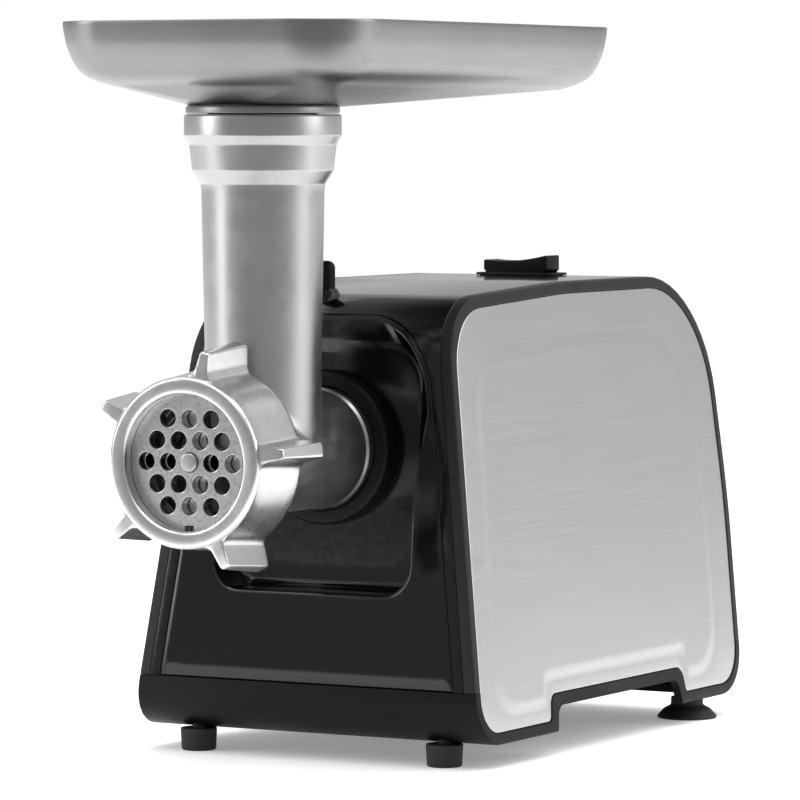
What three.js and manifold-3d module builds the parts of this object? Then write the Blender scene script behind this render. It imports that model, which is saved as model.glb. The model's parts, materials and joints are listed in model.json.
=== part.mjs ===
// Electric meat grinder: a leaning-sided housing with a motor and a two-stage gear train inside,
// and a cast head with auger, blade, plate, locking ring and hopper tray in front of it.
// Millimetres, +Z up, the front looks along -Y. Origin: on the table, in the middle of the whole machine.
// Every sub-part is drawn with Y = 0 where the housing's front face, continued down, meets the table.
import * as THREE from 'three';
import { mergeVertices } from 'three/addons/utils/BufferGeometryUtils.js';
import Module from 'manifold-3d';

const wasm = await Module();
wasm.setup();

// ---------------------------------------------------------------- driving dimensions

// Fits between pieces.
const seatGap = 0.3;            // between two pieces that touch or are clamped together
const runningGap = 0.2;         // on the radius, between a turning piece and what it turns in

// Housing.
const axisHeight = 142;         // table to the axis of the auger
const bodyLength = 287;         // front foot of the housing to its rearmost point
const bodyTop = 215.7;          // table to the roof
const underside = 10.6;         // table to the skirt of the base
const floorWidth = 186;         // width where the leaning sides would reach the table
const sideLean = 7.6;           // degrees
const frontLean = 5.4;          // degrees
const rearLean = 5.3;           // degrees, below the bulge
const bulgeHeight = 105;        // height of the rearmost point
const roofCrest = 135;          // front foot to where the roof becomes level
const roofDrop = 5.5;           // fall of the roof from its crest to the front
const bottomFrontRadius = 20;
const bottomRearRadius = 25;
const topFrontRadius = 36;
const topRearRadius = 60;
const bulgeRadius = 400;
const shellWall = 2.6;

// Base.
const seamHeight = 35.3;        // seam between the base and the shells
const baseWall = 4;
const baseFloorHeight = 24;     // underside of the base's floor
const baseFloor = 3;            // thickness of the base's floor
const gripFront = 82;           // finger recess in each side of the skirt, from the front foot
const gripLength = 125;
const gripTop = 22.5;

// Side frames and steel side panels.
const frameThickness = 5.5;
const frameRim = 5.5;           // width of the rim round the panel
const frameWall = 2.2;          // wall behind the panel
const panelThickness = 1.2;
const panelRecess = 0.3;        // the panel's face lies this far inside the rim's face
const panelNotchMargin = 5.8;   // from the finger recess to the panel's edge

// Front cover with its recess.
const coverMargin = 11;         // from the housing's side to the cover's seam
const coverTopMargin = 12.7;    // from the roof to the cover's seam
const coverTopRadius = 38;
const recessFloor = 27;         // front foot to the floor of the recess
const recessWidth = 102;        // round the head socket
const recessBottom = 77;
const recessFlareStart = 122;
const recessFlareEnd = 160;

// Feet.
const footSpread = 129.6;       // between the two front feet
const footY = 18;
const footRadius = 8.5;
const footPadRadius = 5.5;
const suctionSpread = 155;      // between the two rear suction feet
const suctionFromRear = 44;
const suctionRadius = 14.4;
const suctionNeckRadius = 7.85;

// Rocker switch on the roof.
const switchFromRear = 71;
const rockerLength = 34.6;
const rockerWidth = 14;
const rockerProud = 7.4;       // its middle above the roof, with both ends higher
const bezelRim = 3.2;
const bezelPlate = 1.2;
const bezelDepth = 9;

// Cord gland in the rear wall.
const glandHeight = 66;
const glandRadius = 6.4;
const glandBore = 3.6;
const glandFlange = 9;

// Head socket and lock.
const socketFront = 18;         // front foot to the socket's visible collar
const socketBore = 28.3;        // radius
const socketWall = 6.9;
const flangeThickness = 4;      // the socket's flange on the gearbox
const lugHeight = 3.6;          // bayonet lugs on the head
const lugThickness = 5.2;
const lugHalfAngle = 12;        // degrees
const lugFront = 33.4;
const headTurn = 40;            // degrees the head turns to come off
const lockTravel = 4;           // the lock pin's and the button's
const lockPinRadius = 1.8;
const buttonRadius = 4.6;
const buttonX = -12;
const buttonY = 44;
const springY = 38;             // under the button's arm
const buttonProud = 11;         // the button's top above the roof

// Grinding head.
const headReach = 96.2;         // front foot to the plate's face
const plateRadius = 31;
const plateThickness = 5;
const plateHoleRadius = 4;
const plateHolePitch = 11.03;
const ringLip = 6.5;            // the ring's front stands this far before the plate's face
const ringDepth = 33.5;
const ringLugs = 5;
const ringLugReach = 16.6;      // from the thread to the tips of the ring's lugs
const barrelWall = 2.6;
const augerRadius = 23.6;
const augerPitch = 27;
const feedTubeY = -32.7;        // axis of the feed tube, from the front foot
const feedTubeRadius = 26;
const feedTubeTaper = 1.6;      // growth of its radius towards the top
const feedTubeWall = 3.6;
const tubeBand = 6.3;           // the band under the rim stands this far out
const tubeRim = 9.2;            // and the rim this far
const tubeSeat = 2.4;           // the bore widens by this for the tray's spigot
const feedTubeHeight = 152;     // auger's axis to the tube's rim

// Hopper tray.
const trayHalfWidth = 79;
const trayFront = -97;          // from the front foot
const trayLength = 273;
const trayCorner = 32;
const trayDepthFront = 27;
const trayDepthRear = 28;
const traySheet = 1.2;
const trayNeckHeight = 3.6;     // collar between the tube's rim and the pan

// Gear train: pinion, cluster and output gear in two stages.
const fineModule = 0.8;
const coarseModule = 1.25;
const pinionTeeth = 12;
const clusterWheelTeeth = 60;
const clusterPinionTeeth = 12;
const outputTeeth = 48;
const backlash = 0.22;
const gearboxFront = 57;        // front foot to the gearbox cover's face
const gearboxDepth = 39;
const gearboxMargin = 6;        // from the corner screws to the gearbox's side
const gearboxWall = 3;
const screwBossRadius = 4.8;
const driveHexFlats = 13;
const axleRadius = 4;

// Motor.
const motorGap = 2.3;           // gearbox to the motor's front bracket
const stackLength = 40;         // stator and armature laminations
const armatureRadius = 19.5;
const statorHalfWidth = 40;
const statorHalfHeight = 34;
const motorShaftRadius = 4;
const pinionShaftRadius = 2.5;
const fanRadius = 31;

// ---------------------------------------------------------------- places that follow from them

const degrees = Math.PI / 180;
const halfWidth = (z) => floorWidth / 2 - z * Math.tan(sideLean * degrees);
const frontAt = (z) => z * Math.tan(frontLean * degrees);
const coverTop = bodyTop - coverTopMargin;
const buttonTop = bodyTop + buttonProud;
const socketRadius = socketBore + socketWall;
const screwHeadRadius = 3.6;
const wheelTip = fineModule * (clusterWheelTeeth / 2 + 1);
// The corner screws' heads clear the socket's barrel, and their bosses clear the cluster's wheel.
const cornerHole = Math.max(
  (socketRadius + screwHeadRadius + 5) / Math.SQRT2,
  wheelTip + screwBossRadius + 1,
);
const gearboxHalfWidth = cornerHole + gearboxMargin;
const baseFloorTop = baseFloorHeight + baseFloor;
const frontScrewY = gearboxFront + gearboxDepth - 8;
const clusterAxis = axisHeight - coarseModule * (clusterPinionTeeth + outputTeeth) / 2;
const motorAxis = clusterAxis - fineModule * (pinionTeeth + clusterWheelTeeth) / 2;
const gearboxRear = gearboxFront + gearboxDepth;
const bracketFront = gearboxRear + motorGap;
const bracketPlate = 3;
const fanY = bracketFront + bracketPlate + 3;
const stackY = bracketFront + bracketPlate + 24.4;
const stackRear = stackY + stackLength;
const rearBracketY = stackRear + 30;
const rearFootY = rearBracketY + bracketPlate / 2;
const screwX = 26;
const lugRear = lugFront + lugThickness;
const spigotRadius = socketBore - seatGap;
const spigotRear = lugRear + 5.4;
const lockHeight = spigotRadius + lockPinRadius + 0.8;
const forkFront = spigotRear + 0.4;
const forkRear = forkFront + 7.8;
const dowelRadius = 1.2;
const dowelY = forkFront + 2;
const plateFace = -headReach;
const ringFront = plateFace - ringLip;
const barrelBore = augerRadius + 0.8;
const barrelRadius = barrelBore + barrelWall;
const threadRadius = plateRadius + 3.6;
const ringLugRadius = threadRadius + ringLugReach;
const feedTubeTopRadius = feedTubeRadius + feedTubeTaper;
const bandRadius = feedTubeRadius + tubeBand;
const rimRadius = feedTubeRadius + tubeRim;
const tubeBore = feedTubeRadius - feedTubeWall;
const armFoot = axisHeight + socketRadius + 8.8;
const bladeChamber = plateRadius - 2.5;
const suctionY = bodyLength - suctionFromRear;
const switchY = bodyLength - switchFromRear;
const wide = 400;               // more than any side of the machine, for cutting tools

// ---------------------------------------------------------------- solids from three.js geometry

// A closed solid from a three.js geometry. Doubled points are merged, faces of no area dropped,
// and a profile drawn the other way round is turned to face out.
function solidFrom(geometry) {
  const bare = geometry.index ? geometry.toNonIndexed() : geometry.clone();
  bare.deleteAttribute('normal');
  bare.deleteAttribute('uv');
  const merged = mergeVertices(bare, 1e-4);
  const index = merged.index.array;
  const kept = [];
  for (let i = 0; i < index.length; i += 3) {
    const [a, b, c] = [index[i], index[i + 1], index[i + 2]];
    if (a !== b && b !== c && c !== a) {
      kept.push(a, b, c);
    }
  }
  const positions = merged.attributes.position.array;
  const build = (triangles) => new wasm.Manifold(
    new wasm.Mesh({ numProp: 3, vertProperties: positions, triVerts: new Uint32Array(triangles) }),
  );
  const solid = build(kept);
  return solid.volume() >= 0 ? solid : build(kept.reverse());
}

function extruded(points, depth, turn) {
  const shape = new THREE.Shape(points.map(([u, v]) => new THREE.Vector2(u, v)));
  const geometry = new THREE.ExtrudeGeometry(shape, { depth, bevelEnabled: false, curveSegments: 1 });
  return geometry.applyMatrix4(turn);
}

// Prisms of an outline, along each axis. Outlines are [y, z], [x, z] and [x, y].
function prismX(points, from, to) {
  const turn = new THREE.Matrix4().set(0, 0, 1, from, 1, 0, 0, 0, 0, 1, 0, 0, 0, 0, 0, 1);
  return solidFrom(extruded(points, to - from, turn));
}

function prismY(points, from, to) {
  const turn = new THREE.Matrix4().set(1, 0, 0, 0, 0, 0, -1, to, 0, 1, 0, 0, 0, 0, 0, 1);
  return solidFrom(extruded(points, to - from, turn));
}

function prismZ(points, from, to) {
  return solidFrom(extruded(points, to - from, new THREE.Matrix4().makeTranslation(0, 0, from)));
}

function block(x0, x1, y0, y1, z0, z1) {
  const geometry = new THREE.BoxGeometry(x1 - x0, y1 - y0, z1 - z0);
  return solidFrom(geometry.translate((x0 + x1) / 2, (y0 + y1) / 2, (z0 + z1) / 2));
}

// Bodies of revolution: a profile of [radius, distance along the axis] points.
function turned(profile, segments) {
  const closed = profile[0][0] > 0 ? [...profile, profile[0]] : profile;
  return new THREE.LatheGeometry(closed.map(([r, h]) => new THREE.Vector2(r, h)), segments);
}

function turnedY(profile, segments = 32) {
  return solidFrom(turned(profile, segments));
}

function turnedZ(profile, x, y, segments = 24) {
  return solidFrom(turned(profile, segments).rotateX(Math.PI / 2).translate(x, y, 0));
}

// A plain rod, or a tube where an inner radius is given.
function rodProfile(radius, from, to, inner = 0) {
  return [[inner, from], [radius, from], [radius, to], [inner, to]];
}

function rodX(radius, from, to, y, z, segments = 12) {
  const geometry = turned(rodProfile(radius, from, to), segments).rotateZ(-Math.PI / 2);
  return solidFrom(geometry.translate(0, y, z));
}

function rodY(radius, from, to, x, z, segments = 16) {
  return solidFrom(turned(rodProfile(radius, from, to), segments).translate(x, 0, z));
}

function rodZ(radius, from, to, x, y, segments = 12) {
  return turnedZ(rodProfile(radius, from, to), x, y, segments);
}

// The directions to both neighbours of a corner, and half the angle between them.
function cornerAt(corners, i) {
  const [u, v] = corners.at(i);
  const before = corners.at(i - 1);
  const after = corners[(i + 1 + corners.length) % corners.length];
  const back = new THREE.Vector2(before[0] - u, before[1] - v);
  const ahead = new THREE.Vector2(after[0] - u, after[1] - v);
  const [backLength, aheadLength] = [back.length(), ahead.length()];
  back.normalize();
  ahead.normalize();
  const half = Math.acos(THREE.MathUtils.clamp(back.dot(ahead), -1, 1)) / 2;
  return { back, ahead, backLength, aheadLength, half };
}

// A corner's radius, less where its arc and a neighbour's would meet on their edge.
function fittingRadius(corners, i) {
  const reach = (k) => corners.at(k)[2] / Math.tan(cornerAt(corners, k).half);
  const { backLength, aheadLength } = cornerAt(corners, i);
  const next = (i + 1) % corners.length;
  const own = reach(i);
  return corners[i][2] * Math.min(1, backLength / (own + reach(i - 1)), aheadLength / (own + reach(next)));
}

// An outline through corners [u, v, radius], each rounded by an arc that touches both edges.
function rounded(corners, arcStep = 16) {
  const points = [];
  corners.forEach(([u, v], i) => {
    const radius = fittingRadius(corners, i);
    const { back, ahead, half } = cornerAt(corners, i);
    const middle = back.clone().add(ahead).normalize().multiplyScalar(radius / Math.sin(half));
    const first = back.multiplyScalar(radius / Math.tan(half)).sub(middle).angle();
    const last = ahead.multiplyScalar(radius / Math.tan(half)).sub(middle).angle();
    const sweep = Math.atan2(Math.sin(last - first), Math.cos(last - first));
    const steps = Math.max(1, Math.ceil(Math.abs(sweep) / (arcStep * degrees)));
    for (let k = 0; k <= steps; k += 1) {
      const angle = first + sweep * k / steps;
      points.push([u + middle.x + radius * Math.cos(angle), v + middle.y + radius * Math.sin(angle)]);
    }
  });
  return points;
}

// The same corners moved inwards by a distance, on a convex outline drawn anticlockwise.
function insetCorners(corners, distance) {
  const edge = (i) => {
    const [u0, v0] = corners.at(i);
    const [u1, v1] = corners[(i + 1 + corners.length) % corners.length];
    const along = new THREE.Vector2(u1 - u0, v1 - v0).normalize();
    return { along, point: new THREE.Vector2(u0 - along.y * distance, v0 + along.x * distance) };
  };
  return corners.map(([, , radius], i) => {
    const before = edge(i - 1);
    const after = edge(i);
    const apart = after.point.clone().sub(before.point);
    const reach = apart.cross(after.along) / before.along.cross(after.along);
    const corner = before.point.addScaledVector(before.along, reach);
    return [corner.x, corner.y, Math.max(radius - distance, 0.5)];
  });
}

function rectangle(u0, u1, v0, v1, radius) {
  return rounded([[u0, v0, radius], [u1, v0, radius], [u1, v1, radius], [u0, v1, radius]]);
}

function polygon(sides, flats) {
  const radius = flats / 2 / Math.cos(Math.PI / sides);
  const corner = (i) => (i + 0.5) * 2 * Math.PI / sides;
  const point = (i) => [radius * Math.cos(corner(i)), radius * Math.sin(corner(i))];
  return Array.from({ length: sides }, (_, i) => point(i));
}

// A piece of pie in the X-Z plane between two angles, wide enough to cut with.
function sector(middle, half, radius) {
  const points = [[0, 0]];
  for (let k = -3; k <= 3; k += 1) {
    const angle = (middle + half * k / 3) * degrees;
    points.push([radius * Math.cos(angle), radius * Math.sin(angle)]);
  }
  return points;
}

// ---------------------------------------------------------------- scene graph

function finish(color, roughness, metalness) {
  return new THREE.MeshStandardMaterial({ color, roughness, metalness });
}

const glossBlack = finish(0x16171a, 0.16, 0);
const satinBlack = finish(0x1c1d20, 0.42, 0);
const darkGrey = finish(0x4a4b4d, 0.5, 0);
const brushedSteel = finish(0xbdbdbb, 0.32, 1);
const castAluminium = finish(0xb4b5b6, 0.38, 1);
const toolSteel = finish(0x8f9092, 0.3, 1);
const blackRubber = finish(0x151516, 0.8, 0);
const greyPlastic = finish(0x77787a, 0.5, 0);
const nylon = finish(0xd9d6cb, 0.45, 0);
const laminations = finish(0x5a5c60, 0.5, 1);
const copper = finish(0xb8673a, 0.35, 1);
const bronze = finish(0x9b7a45, 0.4, 1);
const carbon = finish(0x2b2b2c, 0.7, 0);

const grinder = new THREE.Group();
const headAxisGroup = new THREE.Group();
headAxisGroup.position.z = axisHeight;
const clusterGroup = new THREE.Group();
clusterGroup.position.z = clusterAxis;
const motorGroup = new THREE.Group();
motorGroup.position.z = motorAxis;
grinder.add(headAxisGroup, clusterGroup, motorGroup);

function addPiece(group, name, material, solid) {
  const mesh = solid.getMesh();
  const geometry = new THREE.BufferGeometry();
  geometry.setAttribute('position', new THREE.BufferAttribute(new Float32Array(mesh.vertProperties), 3));
  geometry.setIndex(new THREE.BufferAttribute(new Uint32Array(mesh.triVerts), 1));
  geometry.computeVertexNormals();
  const piece = new THREE.Mesh(geometry, material);
  piece.name = name;
  group.add(piece);
}

const sides = [['left', -1], ['right', 1]];

// A span of X on one side of the middle, given from the inner to the outer end, lowest first.
function outwards(side, inner, outer) {
  return side > 0 ? [inner, outer] : [-outer, -inner];
}

// ---------------------------------------------------------------- housing

// Side view of the housing, [y, z], anticlockwise from the lower front corner.
const roofFront = bodyTop - roofDrop;
const rearFoot = bodyLength - (bulgeHeight - underside) * Math.tan(rearLean * degrees);
const housingCorners = [
  [frontAt(underside), underside, bottomFrontRadius],
  [rearFoot, underside, bottomRearRadius],
  [bodyLength, bulgeHeight, bulgeRadius],
  [bodyLength - 1.3, bodyTop, topRearRadius],
  [roofCrest, bodyTop, bulgeRadius],
  [frontAt(roofFront), roofFront, topFrontRadius],
];

// Everything between the two leaning sides, each moved inwards.
function betweenSides(inset) {
  const low = -20;
  const high = bodyTop + 40;
  const outline = [
    [inset - halfWidth(low), low],
    [halfWidth(low) - inset, low],
    [halfWidth(high) - inset, high],
    [inset - halfWidth(high), high],
  ];
  return prismY(outline, -wide, wide);
}

// The housing's whole volume, its outline and its sides each moved inwards.
function housingVolume(outlineInset, sideInset) {
  const outline = rounded(insetCorners(housingCorners, outlineInset));
  return prismX(outline, -wide, wide).intersect(betweenSides(sideInset));
}

const above = (z) => block(-wide, wide, -wide, wide, z, wide);
const below = (z) => block(-wide, wide, -wide, wide, -wide, z);
const sideHalf = (side) => (side > 0 ? block(0, wide, -wide, wide, -wide, wide)
  : block(-wide, 0, -wide, wide, -wide, wide));

// The finger recess, seen from the side, grown by a margin. It is open at the bottom.
function gripOutline(margin) {
  const top = gripTop + margin;
  const flare = 6;
  return rounded([
    [gripFront - margin - flare, -1, 0.5],
    [gripFront + gripLength + margin + flare, -1, 0.5],
    [gripFront + gripLength + margin, top, 6],
    [gripFront - margin, top, 6],
  ]);
}

// The steel panel's outline across the whole width; a positive gap makes the pocket that it lies in.
function panelVolume(gap) {
  const notch = prismX(gripOutline(panelNotchMargin - gap), -wide, wide);
  const outline = rounded(insetCorners(housingCorners, frameRim - gap));
  return prismX(outline, -wide, wide).subtract(notch);
}

const panelDepth = panelRecess + panelThickness;
const pocket = () => panelVolume(seatGap).subtract(betweenSides(panelDepth + seatGap));

function baseTray() {
  const innerSpan = housingVolume(baseWall, baseWall);
  const skirtFront = frontAt(underside) + bottomFrontRadius + 1;
  const skirtRear = rearFoot - bottomRearRadius - 1;
  const skirtOpening = block(-wide, wide, skirtFront, skirtRear, -1, baseFloorHeight)
    .intersect(betweenSides(baseWall));
  const sumpFront = gearboxFront + 10;
  const sumpRear = rearBracketY + 12;
  const sump = prismZ(rectangle(-20, 20, sumpFront, sumpRear, 10), underside + 3.4, baseFloorTop - 0.5);
  const sumpHollow = prismZ(rectangle(-17, 17, sumpFront + 3, sumpRear - 3, 7), underside + 6.4, seamHeight);
  let base = housingVolume(0, 0)
    .subtract(innerSpan.intersect(above(baseFloorTop)))
    .subtract(innerSpan.intersect(below(baseFloorHeight)))
    .subtract(skirtOpening)
    .add(sump)
    .subtract(sumpHollow);
  for (const [, side] of sides) {
    const post = rodZ(6.5, underside - 5, baseFloorHeight + 1, side * 38, rearBracketY - 3);
    const frontBoss = rodZ(footRadius + 1, underside, baseFloorHeight + 1, side * footSpread / 2, footY);
    const rearBoss = rodZ(9.5, underside, baseFloorHeight + 1, side * suctionSpread / 2, suctionY);
    base = base.add(post).add(frontBoss).add(rearBoss);
  }
  base = base.subtract(prismX(gripOutline(0), -wide, wide).subtract(betweenSides(baseWall + 4)));
  base = base.subtract(pocket()).intersect(below(seamHeight - seatGap / 2));
  for (const [, side] of sides) {
    for (const y of [frontScrewY, rearFootY]) {
      base = base.subtract(rodZ(2.2, 0, seamHeight, side * screwX, y, 12));
    }
    base = base.subtract(rodZ(3 + seatGap, 0, 16.5, side * footSpread / 2, footY, 12));
    base = base.subtract(rodZ(3 + seatGap, 0, 16.5, side * suctionSpread / 2, suctionY, 12));
  }
  return base;
}

// Front view of the cover's seam, [x, z]: it follows the leaning sides and closes in an arch.
function coverCorners() {
  const low = seamHeight + seatGap / 2;
  const lowHalf = halfWidth(low) - coverMargin;
  const topHalf = halfWidth(coverTop) - coverMargin;
  return [
    [-lowHalf, low, 0.5],
    [lowHalf, low, 0.5],
    [topHalf, coverTop, coverTopRadius],
    [-topHalf, coverTop, coverTopRadius],
  ];
}

// Front view of the recess round the head socket. It widens towards the top.
function recessCorners() {
  const half = recessWidth / 2;
  const rim = coverMargin + shellWall + 1.5;
  const flareHalf = halfWidth(recessFlareEnd) - rim;
  const topHalf = halfWidth(coverTop) - rim;
  const right = [
    [half, recessBottom, 12],
    [half, recessFlareStart, 12],
    [flareHalf, recessFlareEnd, 14],
    [topHalf, coverTop - shellWall, coverTopRadius - shellWall],
  ];
  const left = right.map(([x, z, radius]) => [-x, z, radius]).reverse();
  return [...right, ...left];
}

// Roof hole and raised collar that guide the release button.
const buttonBore = buttonRadius + 0.4;
const collarTop = bodyTop - 1.7;
const collarFoot = bodyTop - 10;

function mainShell() {
  const skin = housingVolume(0, frameThickness + seatGap).subtract(housingVolume(shellWall, -2));
  const collarProfile = [[0, collarFoot], [9.6, collarFoot], [5.9, collarTop], [0, collarTop]];
  const collar = turnedZ(collarProfile, buttonX, buttonY, 24);
  const roofHole = prismZ(rectangle(
    -rockerLength / 2 - 2.4, rockerLength / 2 + 2.4,
    switchY - rockerWidth / 2 - 1.4, switchY + rockerWidth / 2 + 1.4, 1.5,
  ), bodyTop - 20, bodyTop + 20);
  return skin
    .add(collar.subtract(housingVolume(shellWall, -2).intersect(below(collarFoot + 5))))
    .intersect(above(seamHeight + seatGap / 2))
    .subtract(prismY(rounded(coverCorners()), -wide, bodyLength / 2))
    .subtract(rodZ(buttonBore, collarFoot - 21, bodyTop + 10, buttonX, buttonY))
    .subtract(roofHole)
    .subtract(onRearWall(rodProfile(glandRadius + seatGap, -20, 20)));
}

function frontCover() {
  const seam = prismY(rounded(insetCorners(coverCorners(), seatGap)), -wide, bodyLength / 2);
  const skin = housingVolume(0, frameThickness).subtract(housingVolume(shellWall, -2)).intersect(seam);
  const recess = recessCorners();
  const grown = recess.map(([x, z, radius]) => {
    const drop = z === recessBottom ? shellWall : 0;
    return [x + Math.sign(x) * shellWall, z - drop, radius + shellWall];
  });
  const tub = prismY(rounded(grown), 0, recessFloor + shellWall)
    .intersect(housingVolume(0, frameThickness))
    .intersect(seam);
  return skin
    .add(tub)
    .subtract(prismY(rounded(recess), -wide, recessFloor))
    .subtract(rodY(socketRadius + seatGap, -wide, recessFloor + 10, 0, axisHeight, 32))
    .subtract(rodZ(buttonBore, armFoot, bodyTop + 10, buttonX, buttonY));
}

function sideFrame(side) {
  const plate = housingVolume(0, 0).subtract(betweenSides(frameThickness));
  const behind = housingVolume(frameRim, panelDepth + seatGap + frameWall);
  return plate
    .intersect(above(seamHeight + seatGap / 2))
    .subtract(pocket())
    .subtract(behind)
    .intersect(sideHalf(side));
}

function sidePanel(side) {
  return panelVolume(0)
    .intersect(betweenSides(panelRecess))
    .subtract(betweenSides(panelDepth))
    .intersect(sideHalf(side));
}

// The rear wall leans, so the cord gland is drawn upright and turned to it.
function onRearWall(profile) {
  const wallY = bodyLength - (bulgeHeight - glandHeight) * Math.tan(rearLean * degrees);
  return turnedY(profile, 16).rotate([-rearLean, 0, 0]).translate(0, wallY, glandHeight);
}

function cordGland() {
  return onRearWall([
    [3.6, -shellWall - 5], [glandRadius, -shellWall - 5], [glandRadius, seatGap],
    [9, seatGap], [8.4, 2.3], [3.6, 2.3],
  ]);
}

function frontFoot(side) {
  const profile = [
    [0, 0], [footPadRadius, 0], [footPadRadius, 4.6], [footRadius, 5.6],
    [footRadius, underside - seatGap], [3, underside - seatGap], [3, 16], [0, 16],
  ];
  return turnedZ(profile, side * footSpread / 2, footY, 20);
}

function suctionFoot(side) {
  const profile = [
    [0, 3.6], [7, 2.8], [11, 1.4], [suctionRadius - 1.2, 0], [suctionRadius, 0],
    [suctionRadius, 1.2], [11.5, 4.4], [suctionNeckRadius, 6.4],
    [suctionNeckRadius, underside - seatGap], [3, underside - seatGap], [3, 16], [0, 16],
  ];
  return turnedZ(profile, side * suctionSpread / 2, suctionY, 20);
}

// A pan-headed screw whose head bears at the given place.
function screwProfile(seat, radius, length) {
  return [
    [0, seat - 3], [screwHeadRadius, seat - 3], [screwHeadRadius, seat],
    [radius, seat], [radius, seat + length], [0, seat + length],
  ];
}

function baseScrew(side, y) {
  const head = baseFloorHeight - seatGap;
  const profile = screwProfile(head, 1.8, 13);
  return turnedZ(profile, side * screwX, y, 10);
}

// ---------------------------------------------------------------- switch

const bezelHalfX = rockerLength / 2 + 1.2;
const bezelHalfY = rockerWidth / 2 + 0.4;

function switchBezel() {
  const plate = prismZ(rectangle(
    -bezelHalfX - bezelRim, bezelHalfX + bezelRim,
    switchY - bezelHalfY - bezelRim + 1, switchY + bezelHalfY + bezelRim - 1, 3,
  ), bodyTop + seatGap, bodyTop + seatGap + bezelPlate);
  const sleeve = prismZ(rectangle(
    -bezelHalfX - 0.9, bezelHalfX + 0.9, switchY - bezelHalfY - 0.7, switchY + bezelHalfY + 0.7, 1.2,
  ), bodyTop - bezelDepth, bodyTop + seatGap + bezelPlate / 2);
  const opening = block(
    -bezelHalfX, bezelHalfX, switchY - bezelHalfY, switchY + bezelHalfY, bodyTop - wide, bodyTop + wide,
  );
  return plate.add(sleeve).subtract(opening);
}

function switchBody() {
  const top = bodyTop - bezelDepth - seatGap;
  const body = block(-bezelHalfX, bezelHalfX, switchY - bezelHalfY, switchY + bezelHalfY, top - 16, top);
  const terminal = (x) => block(x - 2.4, x + 2.4, switchY - 0.4, switchY + 0.4, top - 24, top - 15);
  return [-12, 0, 12].reduce((sum, x) => sum.add(terminal(x)), body);
}

// The rocker's top is hollow, with both ends raised and the right one more. It tips about an axis
// along Y at roof height.
function rockerSwitch() {
  const half = rockerLength / 2;
  const top = [];
  for (let k = -6; k <= 6; k += 1) {
    const t = -k / 6;
    top.push([half * t, bodyTop + rockerProud + 1.2 * t + 1.6 * t ** 2]);
  }
  const outline = [
    [-9, bodyTop - 6], [9, bodyTop - 6], [half, bodyTop + 3], ...top, [-half, bodyTop + 3],
  ];
  return prismY(outline, switchY - rockerWidth / 2, switchY + rockerWidth / 2);
}

// ---------------------------------------------------------------- head socket and lock

const lugAngles = [90, 210, 330];

function headSocket() {
  const lugRoom = spigotRadius + lugHeight + 0.5;
  const groove = rodProfile(lugRoom, lugFront - 0.4, lugRear + 0.4);
  const flangeHalf = gearboxHalfWidth;
  const flangeRear = gearboxFront - seatGap;
  const flangeFront = flangeRear - flangeThickness;
  const flange = rectangle(-flangeHalf, flangeHalf, -flangeHalf, flangeHalf, 8);
  let socket = rodY(socketRadius, socketFront, flangeRear, 0, 0, 32)
    .add(prismY(flange, flangeFront, flangeRear))
    .subtract(rodY(socketBore, 0, gearboxFront + 1, 0, 0, 32))
    .subtract(turnedY(groove));
  for (const angle of lugAngles) {
    const entry = prismY(sector(angle - headTurn, lugHalfAngle + 2, socketRadius + 5), 0, lugFront + 1);
    socket = socket.subtract(entry.intersect(turnedY(rodProfile(lugRoom, 0, lugFront + 1))));
  }
  const forkSlot = block(-5.3, 5.3, spigotRear, gearboxFront + 1, 18, socketRadius + 10);
  const pinHole = rodY(lockPinRadius + runningGap, lugRear - 1, spigotRear + 1, 0, lockHeight, 16);
  socket = socket.subtract(forkSlot).subtract(pinHole);
  return subtractCornerHoles(socket, flangeFront - 1, gearboxFront + 1, 2.3);
}

// The pin has a cross dowel that rides in the fork's slanted slots.
function lockPin() {
  return rodY(lockPinRadius, lugRear + 0.3, dowelY + 2.4, 0, lockHeight, 16)
    .add(rodX(dowelRadius, -4.6, 4.6, dowelY, lockHeight));
}

// Button, arm and fork in one moulding. Its slots drive the pin back as far as it is pressed.
function releaseButton() {
  const dome = [[0, armFoot], [buttonRadius, armFoot], [buttonRadius, buttonTop - 3],
    [buttonRadius * 0.86, buttonTop - 1.3], [buttonRadius * 0.5, buttonTop - 0.3], [0, buttonTop]];
  const armFront = springY - 4;
  const arm = block(buttonX - buttonRadius, buttonRadius, armFront, forkRear, armFoot, armFoot + 4);
  let button = turnedZ(dome, buttonX, buttonY, 24).add(arm);
  const pinZ = axisHeight + lockHeight;
  const slot = rounded([
    [dowelY - 1.4 * Math.SQRT2, pinZ, 1.39],
    [dowelY, pinZ - 1.4 * Math.SQRT2, 1.39],
    [dowelY + lockTravel + 1.4 * Math.SQRT2, pinZ + lockTravel, 1.39],
    [dowelY + lockTravel, pinZ + lockTravel + 1.4 * Math.SQRT2, 1.39],
  ]);
  for (const [, side] of sides) {
    const [low, high] = outwards(side, lockPinRadius + 0.5, buttonRadius);
    button = button.add(block(low, high, forkFront, forkRear, pinZ - 4.2, armFoot + 1));
  }
  return button.subtract(prismX(slot, -wide, wide));
}

// Coil of wire between the socket and the button's arm.
class Helix extends THREE.Curve {
  constructor(radius, turns, low, high) {
    super();
    Object.assign(this, { radius, turns, low, high });
  }

  getPoint(t, target = new THREE.Vector3()) {
    const angle = 2 * Math.PI * this.turns * t;
    const z = this.low + (this.high - this.low) * t;
    return target.set(this.radius * Math.cos(angle), this.radius * Math.sin(angle), z);
  }
}

function buttonSpring() {
  const wire = 0.4;
  const low = axisHeight + socketRadius + seatGap + wire;
  const high = armFoot - seatGap - wire;
  const section = new THREE.Shape(polygon(5, 2 * wire).map(([u, v]) => new THREE.Vector2(u, v)));
  const path = new Helix(3, 4, low, high);
  const geometry = new THREE.ExtrudeGeometry(section, { steps: 36, extrudePath: path, bevelEnabled: false });
  return solidFrom(geometry.translate(0, springY, 0));
}

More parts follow.
